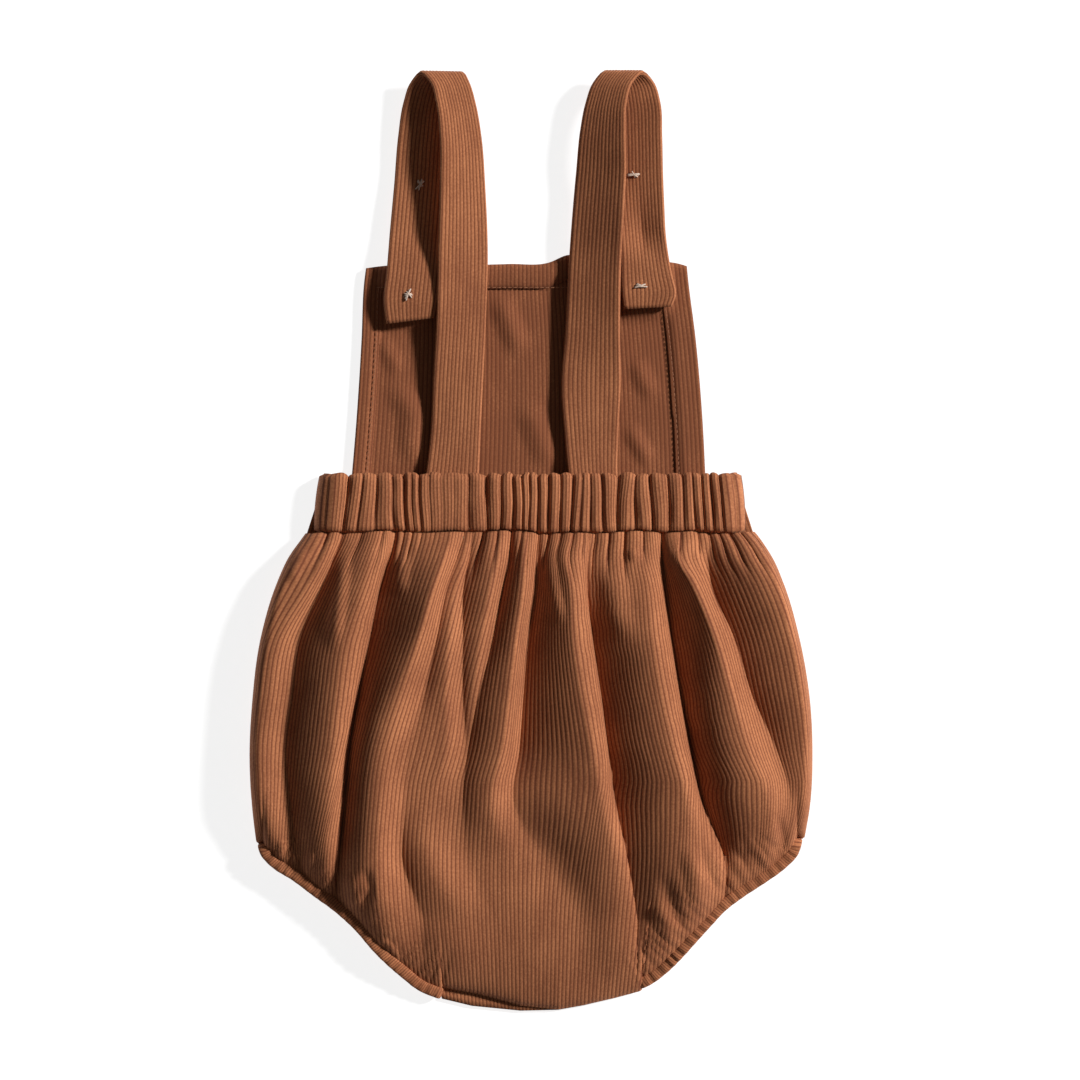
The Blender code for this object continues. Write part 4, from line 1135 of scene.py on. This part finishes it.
def make_waistband():
    """The elastic casing across the back, gathered into pleats and round at both ends."""
    x_top, x_foot, tops = band_stations()
    dips = pleat_dips(x_top, tops)
    # Share of the way up the band, wall from the inside, share of the pleat's height.
    inside = ((0.05, 0.1, 0.0), (0.5, 0.0, 0.0), (0.95, 0.1, 0.0))
    over = [
        (0.97 + 0.03 * math.sin(angle), 0.55 - 0.45 * math.cos(angle), 0.15 + 0.15 * math.sin(angle))
        for angle in (1.0, 1.9, 2.7)
    ]
    outside = [
        (share, 1.0, 0.55 + 0.45 * math.sin(math.pi * share) ** 0.35)
        for share in np.linspace(0.95, 0.05, 13)
    ]
    outline = [*inside, *over, *outside, (0.01, 0.75, 0.25), (0.0, 0.4, 0.05), (0.05, 0.1, 0.0)]
    shrink = 1 - (BAND_WALL + 0.8 * PLEAT_HEIGHT) / 98.0
    sections = []
    level = 0 * x_top
    for share, wall, pleat in outline:
        x = x_foot + (x_top - x_foot) * share
        from_end = np.minimum(x - x[0], x[-1] - x)
        up = share * (BAND_TOP_Y - SEAM_Y)
        # Each pleat wanders a little on its way up, and is deeper in one place than in another.
        x = x + PLEAT_WANDER * uneven(x_top, level + up, 30.0, 9) * ease(from_end / 8.0) * (wall == 1.0)
        crest = 1 - dips * (1 + PLEAT_VARIES * uneven(x_top * 2.2, level + up, 21.0, 12))
        drop = BAND_END_RADIUS * (1 - quarter(from_end, BAND_END_RADIUS))
        z = BAND_INNER_Z - drop * (BAND_INNER_Z - CLOTH - GAP) / BAND_END_RADIUS
        run, climb = np.gradient(x), np.gradient(z)
        run[0], climb[0], run[-1], climb[-1] = 0, 1, 0, -1
        size = np.hypot(run, climb)
        out = wall * BAND_WALL + pleat * crest * PLEAT_HEIGHT
        y = SEAM_Y + up + seam_wave(x * shrink) * ease(1 - share * 1.6)
        y = y + (1.8 * (crest - 0.7) + 0.6 * uneven(x_top, level, 7.0, 3) if share > 0.9 else 0)
        sections.append(np.stack([x * shrink - climb / size * out, y, z + run / size * out], 1))
    grid = np.stack(sections, 1)
    raised = np.array([1.0 if wall == 1.0 else 0.0 for share, wall, pleat in outline])
    across = run_of(np.array([(share * (BAND_TOP_Y - SEAM_Y), wall, 0) for share, wall, pleat in outline]))
    wale = (np.arange(len(grid)) / WALE_POINTS)[:, None]
    made = tube_cloth("waistband_casing", Patch(grid, wale, across, raised[None, :]), ring=False)
    dress(made, "back_waistband")


# The bib

def bib_height(x, y):
    """How far the bib lifts off the surface, over its two buttons and in its soft creases."""
    lift = np.zeros(np.broadcast(x, y).shape)
    for name, bx, by in BIB_BUTTONS:
        away = ((x - bx) ** 4 + (y - by) ** 4) ** 0.25
        lift = np.maximum(lift, (BUTTON_THICK + GAP) * ease(1 - (away - BUMP_FLAT) / BUMP_SKIRT))
    return lift + creases(x, y, BIB_CREASES)


def bib_grid():
    """The bib's underside, from its top edge down, left to right."""
    rows = int((BIB_TOP[0][1] - BIB_FOOT_Y) / BIB_ROW_STEP)
    up = np.linspace(1, 0, rows + 1)[:, None]
    across = np.linspace(0, 1, BIB_WALES * WALE_POINTS + 1)
    top_left, top_right = smooth(BIB_SIDES, BIB_TOP_Y, 1), smooth(BIB_SIDES, BIB_TOP_Y, 2)
    top = smooth(BIB_TOP, top_left + (top_right - top_left) * across)
    y = BIB_FOOT_Y + (top - BIB_FOOT_Y) * up
    left, right = smooth(BIB_SIDES, y, 1), smooth(BIB_SIDES, y, 2)
    x = left + (right - left) * across
    return np.stack([x, y, bib_height(x, y)], 2)


def raised_by(grid, height):
    return grid + np.array([0, 0, height])


def make_bib():
    grid = bib_grid()
    half = WALE_HEIGHT / 2
    wale, along = np.arange(grid.shape[1]) / WALE_POINTS, down_length(grid)
    fade = edge_fades(grid.shape[:2])
    upper = Patch(raised_by(grid, BIB_CLOTH - half), wale, along, fade)
    made = grid_cloth("bib_panel", upper, Patch(raised_by(grid, half), wale, along, fade))
    dress(made, "bib")
    make_facing(grid, wale, along)


def facing_reach(grid):
    """How far inside the facing each point of the bib's grid lies, below 0 where it is off it."""
    from_left, from_right = grid[..., 0] - grid[:, :1, 0], grid[:, -1:, 0] - grid[..., 0]
    from_top = grid[:1, :, 1] - grid[..., 1]
    return np.maximum(np.maximum(FACING_LEFT - from_left, FACING_RIGHT - from_right), FACING_TOP - from_top)


def make_facing(grid, wale, along):
    """The facing turned over the bib's sides and top, made from the bib's points, moved out."""
    reach = facing_reach(grid)
    cells = (reach[1:, 1:] + reach[:-1, :-1]) / 2 > 0
    inner_edge = np.pad(cells, 1, constant_values=False)
    corner = inner_edge[1:, 1:] & inner_edge[:-1, 1:] & inner_edge[1:, :-1] & inner_edge[:-1, :-1]
    low = raised_by(grid, BIB_CLOTH + GAP / 2)
    thin = FACING_EDGE + (1 - FACING_EDGE) * ease(reach / FACING_TAPER)
    high = raised_by(grid, BIB_CLOTH + GAP)
    high[..., 2] += FACING_CLOTH * np.where(corner, thin, thin * 0.6)
    upper = Patch(high, wale, along, corner * 1.0)
    made = grid_cloth("facing", upper, Patch(low, wale, along, 0.0), cells)
    dress(made, "bib_facing")


# The straps

def make_strap(name, table):
    """A strap turned through into a flat tube, looped over to its button. Gives the grid of its surface."""
    line = curve(table, STRAP_ROWS)[::-1]
    left, right, dip = line[:, 0:3], line[:, 3:6], line[:, 6]
    flat_part = (STRAP_WALES * WALE_POINTS) + 1
    level = np.linspace(-1, 1, flat_part)
    turn = np.linspace(0, np.pi, 8)[1:-1]
    half_thick = STRAP_CLOTH / 2 - 0.1
    # Once round the strap: across it, out of it, wale, and how far the wales stand.
    across = np.concatenate([level, np.ones(6), level[::-1], -np.ones(6), level[:1]])
    bulge = np.concatenate([level * 0, np.sin(turn), level * 0, -np.sin(turn), [0]])
    out = np.concatenate([level * 0 + 1, np.cos(turn), level * 0 - 1, -np.cos(turn), [1]])
    wale = np.concatenate([
        np.linspace(0, STRAP_WALES, flat_part), STRAP_WALES + np.arange(1, 7) * 2 / 7,
        np.linspace(STRAP_WALES + 2, 2 * STRAP_WALES + 2, flat_part),
        2 * STRAP_WALES + 2 + np.arange(1, 7) * 2 / 7, [2 * STRAP_WALES + 4],
    ])
    raised = np.where(np.abs(out) == 1, 1.0, 0.25) * ease((1.03 - np.abs(across)) / 0.06 + 0.2)
    middle = (left + right) / 2
    side = (right - left) / 2
    width = np.linalg.norm(side, axis=1)[:, None]
    side = side / width
    forward = np.gradient(middle, axis=0)
    up = np.cross(forward, side)
    up /= np.linalg.norm(up, axis=1)[:, None]
    arm = width - half_thick
    spread = across * arm + bulge * half_thick
    grid = middle[:, None] + side[:, None] * spread[..., None]
    grid = grid + up[:, None] * (out * half_thick)[None, :, None]
    soft = 0.55 * uneven(run_of(middle)[:, None], spread * 0.6, 40.0, len(name) * 3)
    grid[..., 2] += soft * ease((run_of(middle)[:, None] - 20) / 30) - dip[:, None] * (1 - np.abs(across))
    made = tube_cloth(name + "_tube", Patch(grid, wale, run_of(middle)[:, None], raised), ring=False)
    dress(made, name)
    return grid


# The leg hems

def make_hem(name, points, seed, flip):
    """A gathered leg hem: an upper run on the back, a lower run on the surface, joined at both ends."""
    outer = curve(points, 240)
    length = run_of(outer)[-1]
    line = outer + inward(outer, 0.0) * HEM_WIDTH / 2
    along = np.linspace(0, length, 240)
    lower_z = HEM_THICK / 2
    first_turn, last_turn = (HEM_UPPER_Z - lower_z) / 2, (HEM_CROTCH_Z - lower_z) / 2
    start, end = first_turn + HEM_THICK / 2, length - last_turn - HEM_THICK / 2
    upper_s = np.arange(start, end, 0.5)
    lower_s = np.linspace(end, start, len(upper_s) // 2)
    turn = np.linspace(-np.pi / 2, np.pi / 2, 17)[1:-1]
    near_end = hem_height(1.0)
    far = np.stack([end + last_turn * np.cos(turn), (near_end + lower_z) / 2 - last_turn * np.sin(turn)], 1)
    near_z = (HEM_UPPER_Z + lower_z) / 2 + first_turn * np.sin(turn)
    near = np.stack([start - first_turn * np.cos(turn), near_z], 1)
    path = np.concatenate([
        np.stack([upper_s, hem_height((upper_s - start) / (end - start))], 1), far,
        np.stack([lower_s, np.full(len(lower_s), lower_z)], 1), near,
    ])
    path = np.concatenate([path, path[:1]])
    s, z = path.T
    wave = np.concatenate([gather_wave(upper_s, seed), np.full(len(path) - len(upper_s), 0.4)])
    wave[-1] = wave[0]
    plan = np.stack([np.interp(s, along, line[:, 0]), np.interp(s, along, line[:, 1])], 1)
    run = [np.interp(s + 0.5, along, line[:, k]) - np.interp(s - 0.5, along, line[:, k]) for k in (0, 1)]
    run = np.stack(run, 1)
    run /= np.linalg.norm(run, axis=1)[:, None]
    side = np.stack([-run[:, 1], run[:, 0]], 1)
    side *= np.sign((side * ([0.0, -60.0] - plan)).sum(1))[:, None]
    loop = path[:-1]
    step = np.roll(loop, -1, axis=0) - np.roll(loop, 1, axis=0)
    step /= np.linalg.norm(step, axis=1)[:, None]
    step = np.concatenate([step, step[:1]])
    up = np.concatenate([run * -step[:, 1:], step[:, :1]], 1)
    side = np.concatenate([side, np.zeros((len(path), 1))], 1)
    centre = np.concatenate([plan, z[:, None]], 1)
    around = np.linspace(0, 2 * np.pi, 17)
    # A rounded flat roll: across it towards the body, and out of the ring.
    across = np.sign(np.cos(around)) * np.abs(np.cos(around)) ** 0.7
    out = np.sign(np.sin(around)) * np.abs(np.sin(around)) ** 0.7
    share = np.clip(out + 0.3, 0, 1) * np.where(across < 0, 1, 0.8)
    puff = (wave[:, None] * 2 - 0.9) * HEM_GATHER * share
    wide = across * HEM_WIDTH / 2 + np.where(across < 0, 0.3 - puff * 0.4, 0)
    thick = out * (HEM_THICK / 2 - 0.1) + puff
    grid = centre[:, None] + side[:, None] * wide[..., None] + up[:, None] * thick[..., None]
    grid[..., 2] = np.maximum(grid[..., 2], WALE_HEIGHT / 2)
    turns = round(float(run_of(grid[:, 4])[-1]) / (0.8 * WALE))
    wale = np.linspace(0, turns, len(path))[:, None] + (around / np.pi)[None, :]
    if not flip:
        grid, wale = grid[:, ::-1], wale[:, ::-1]
    roll = run_of(grid[0])
    made = tube_cloth(name + "_casing", Patch(grid, wale, roll[None, :], 0.45), ring=True)
    dress(made, name)
    # The casing is folded along its middle, so its flat area is its folded width times its length.
    return made


# Buttons, knots and stitches

def make_button(name, x, y):
    """A round button, its face down: a rim, a dished middle and four holes."""
    profile = (
        (0.0, 2.3), (5.6, 2.45), (6.6, 2.5), (7.2, 2.2), (7.5, 1.6), (7.5, 0.9), (7.2, 0.35), (6.6, 0.1),
        (6.0, 0.12), (5.4, 0.45), (4.9, 0.75), (0.0, 0.85),
    )
    shaped = bmesh.new()
    verts = [shaped.verts.new((r * MM, 0, z * MM)) for r, z in profile]
    edges = [shaped.edges.new(pair) for pair in zip(verts, verts[1:])]
    bmesh.ops.spin(
        shaped, geom=[*verts, *edges], axis=(0, 0, 1), cent=(0, 0, 0), steps=48, angle=2 * math.pi,
    )
    bmesh.ops.remove_doubles(shaped, verts=shaped.verts, dist=2e-6)
    bmesh.ops.recalc_face_normals(shaped, faces=shaped.faces)
    mesh = bpy.data.meshes.new(name + "_disc")
    shaped.to_mesh(mesh)
    shaped.free()
    disc = add_object(name + "_disc", mesh)
    holes = bmesh.new()
    for side_x, side_y in ((1, 1), (1, -1), (-1, 1), (-1, -1)):
        made = bmesh.ops.create_cone(
            holes, cap_ends=True, segments=16, radius1=HOLE_RADIUS * MM, radius2=HOLE_RADIUS * MM,
            depth=8 * MM,
        )
        place = (side_x * HOLE_APART * MM, side_y * HOLE_APART * MM, 0)
        bmesh.ops.translate(holes, verts=made["verts"], vec=place)
    cutter_mesh = bpy.data.meshes.new(name + "_holes")
    holes.to_mesh(cutter_mesh)
    holes.free()
    cutter = add_object(name + "_holes", cutter_mesh)
    cut = disc.modifiers.new("holes", "BOOLEAN")
    cut.operation, cut.solver, cut.object = "DIFFERENCE", "EXACT", cutter
    bpy.context.view_layer.update()
    shown = disc.evaluated_get(bpy.context.evaluated_depsgraph_get())
    final = bpy.data.meshes.new_from_object(shown)
    final.transform(Matrix.Translation((x * MM, y * MM, 0)))
    for old in (disc, cutter):
        bpy.data.objects.remove(old)
    final.materials.clear()
    final.materials.append(HORN)
    final.shade_smooth()
    final.set_sharp_from_angle(angle=math.radians(40))
    dress(add_object(name + "_detailed", final), name, slot="button")


def stitches_tree():
    """Geometry Nodes that lay short stitches end to end along a line."""
    nodes = Nodes("stitches", (
        ("Line", "Geometry"), ("Stitch length", "Float"), ("Stitch share", "Float"),
        ("Thread radius", "Float"), ("Seed", "Int"), ("Material", "Material"),
    ), "Stitches")
    given, node = nodes.given, nodes.node
    sockets = {"Curve": given["Line"], "Length": given["Stitch length"]}
    spaced = node("GeometryNodeCurveToPoints", {"mode": "LENGTH"}, sockets)
    bar = node("GeometryNodeMeshUVSphere", {}, {"Segments": 6, "Rings": 5, "Radius": 1.0})[0]
    radius = given["Thread radius"]
    reach = nodes.math("MULTIPLY", given["Stitch length"], given["Stitch share"])
    size = node("ShaderNodeCombineXYZ", {}, {"X": radius, "Y": radius, "Z": reach})[0]
    sockets = {2: -STITCH_SWAY, 3: STITCH_SWAY, "Seed": given["Seed"]}
    sway = node("FunctionNodeRandomValue", {"data_type": "FLOAT"}, sockets)[1]
    turn = node("ShaderNodeCombineXYZ", {}, {"X": sway, "Y": sway, "Z": 0.0})[0]
    along = node("FunctionNodeAlignEulerToVector", {"axis": "Z"}, {"Vector": spaced["Tangent"]})[0]
    settings = {"rotation_type": "EULER", "space": "LOCAL"}
    laid = node("FunctionNodeRotateEuler", settings, {"Rotation": along, "Rotate By": turn})[0]
    sockets = {"Points": spaced["Points"], "Instance": bar, "Rotation": laid, "Scale": size}
    return nodes.finish(node("GeometryNodeInstanceOnPoints", {}, sockets)[0])


def add_lines(name, lines):
    """Open lines of points, as a curve object."""
    data = bpy.data.curves.new(name, "CURVE")
    data.dimensions = "3D"
    for line in lines:
        spline = data.splines.new("POLY")
        spline.points.add(len(line) - 1)
        places = np.pad(np.asarray(line) * MM, ((0, 0), (0, 1)), constant_values=1)
        spline.points.foreach_set("co", places.ravel())
    return add_object(name, data)


def make_facing_stitches():
    """The line of stitches that holds the facing down along its inner edge."""
    top = BIB_TOP_Y - FACING_TOP + STITCH_INSET

    def over(x, y):
        lift = bib_height(x, y) + BIB_CLOTH + GAP + FACING_CLOTH + STITCH_LIFT
        return np.stack([x, y, lift], 1)

    down = np.linspace(top - 1.5, BIB_FOOT_Y + 6, 60)
    left = smooth(BIB_SIDES, down, 1) + FACING_LEFT - STITCH_INSET
    right = smooth(BIB_SIDES, down, 2) - FACING_RIGHT + STITCH_INSET
    across = np.linspace(left[0], right[0], 90)
    lines = [over(left, down), over(right, down), over(across, np.full(90, top))]
    made = with_tree(add_lines("facing_stitches", lines), stitches_tree(), {
        "Stitch length": STITCH_LENGTH * MM, "Stitch share": STITCH_SHARE,
        "Thread radius": STITCH_RADIUS * MM, "Seed": 5, "Material": THREAD,
    })
    made.data.shade_smooth()
    dress(made)


def tube(points, radius, sides=6):
    """Points and faces of a thread along a line, closed at both ends."""
    line = curve(points, 4 * len(points))
    forward = np.gradient(line, axis=0)
    forward /= np.linalg.norm(forward, axis=1)[:, None]
    side = np.cross(forward, [0.31, 0.2, 1.0])
    side /= np.linalg.norm(side, axis=1)[:, None]
    up = np.cross(side, forward)
    turn = np.linspace(0, 2 * np.pi, sides + 1)[:-1]
    taper = np.ones(len(line))
    taper[[0, -1]] = 0.55
    ring = side[:, None] * np.cos(turn)[None, :, None] + up[:, None] * np.sin(turn)[None, :, None]
    grid = line[:, None] + ring * (radius * taper)[:, None, None]
    index = np.arange(len(line) * sides).reshape(len(line), sides)
    following = np.roll(index, -1, axis=1)
    faces = np.stack([index[:-1], following[:-1], following[1:], index[1:]], -1).reshape(-1, 4).tolist()
    return grid.reshape(-1, 3), [*faces, index[0][::-1].tolist(), index[-1].tolist()]


def make_knot(name, x, y, strap, seed):
    """The thread of a button on the strap's other side: three crossing loops and two loose ends."""
    flat = strap.reshape(-1, 3)
    near = flat[np.hypot(flat[:, 0] - x, flat[:, 1] - y) < 1.6]
    top = near[:, 2].max() + 0.1
    chance = np.random.default_rng(seed)
    points, faces = [], []
    for k in range(5):
        angle = chance.uniform(0, np.pi) + k * 0.8
        reach = chance.uniform(1.6, 2.1) if k < 3 else 2.9
        step = np.array([np.cos(angle), np.sin(angle)])
        last = 0.05 if k < 3 else 0.35
        ends = [(-reach * 0.9, 0.0), (-reach * 0.4, 0.55), (reach * 0.4, 0.6), (reach, last)]
        start = (x, y) + chance.uniform(-0.35, 0.35, 2)
        route = [(*(start + step * along), top + up) for along, up in ends]
        more, its_faces = tube(route, KNOT_RADIUS)
        faces += [[i + sum(len(p) for p in points) for i in face] for face in its_faces]
        points.append(more)
    mesh = bpy.data.meshes.new(name)
    mesh.from_pydata((np.concatenate(points) * MM).tolist(), [], faces)
    mesh.materials.append(PALE_THREAD)
    mesh.shade_smooth()
    dress(add_object(name, mesh))


# The table, the light and the camera

def add_floor():
    mesh = bpy.data.meshes.new("table_top")
    half = 1.6
    below = -0.0004
    corners = [(half * x, half * y, below) for x, y in ((-1, -1), (1, -1), (1, 1), (-1, 1))]
    mesh.from_pydata(corners, [], [(0, 1, 2, 3)])
    mesh.materials.append(floor_finish())
    add_object("table_top", mesh)


def add_light():
    """A soft studio light from the upper right, low enough to graze the folds, and a pale room."""
    data = bpy.data.lights.new("studio", "SUN")
    data.energy = SUN_ENERGY
    data.angle = SUN_WIDTH
    lamp = add_object("studio", data)
    lamp.rotation_euler = [math.radians(tilt) for tilt in SUN_TILT]
    world = bpy.data.worlds.new("room")
    world.use_nodes = True
    world.node_tree.nodes["Background"].inputs["Color"].default_value = ROOM_COLOUR
    world.node_tree.nodes["Background"].inputs["Strength"].default_value = ROOM_STRENGTH
    bpy.context.scene.world = world


def add_camera():
    """Straight above the garment, as the photograph is taken, with a long lens."""
    data = bpy.data.cameras.new("camera")
    data.sensor_width = 36.0
    data.lens = data.sensor_width * CAMERA_HEIGHT / VIEW_WIDTH
    data.clip_end = 10.0
    camera = add_object("camera", data)
    camera.location = (VIEW_MIDDLE[0] * MM, VIEW_MIDDLE[1] * MM, CAMERA_HEIGHT * MM)
    bpy.context.scene.camera = camera


add_camera()
add_light()
add_floor()
bpy.context.scene.view_settings.view_transform = "Standard"

make_back()
make_front()
make_waistband()
make_bib()
make_facing_stitches()
left_strap = make_strap("strap_left", LEFT_STRAP)
right_strap = make_strap("strap_right", RIGHT_STRAP)
make_hem("leg_hem_left", LEFT_LEG, 21, False)
make_hem("leg_hem_right", RIGHT_LEG, 22, True)
for number, (name, x, y) in enumerate(BUTTONS):
    make_button(name, x, y)
    make_knot(name.replace("button", "knot"), x, y, left_strap if x < 0 else right_strap, 40 + number)
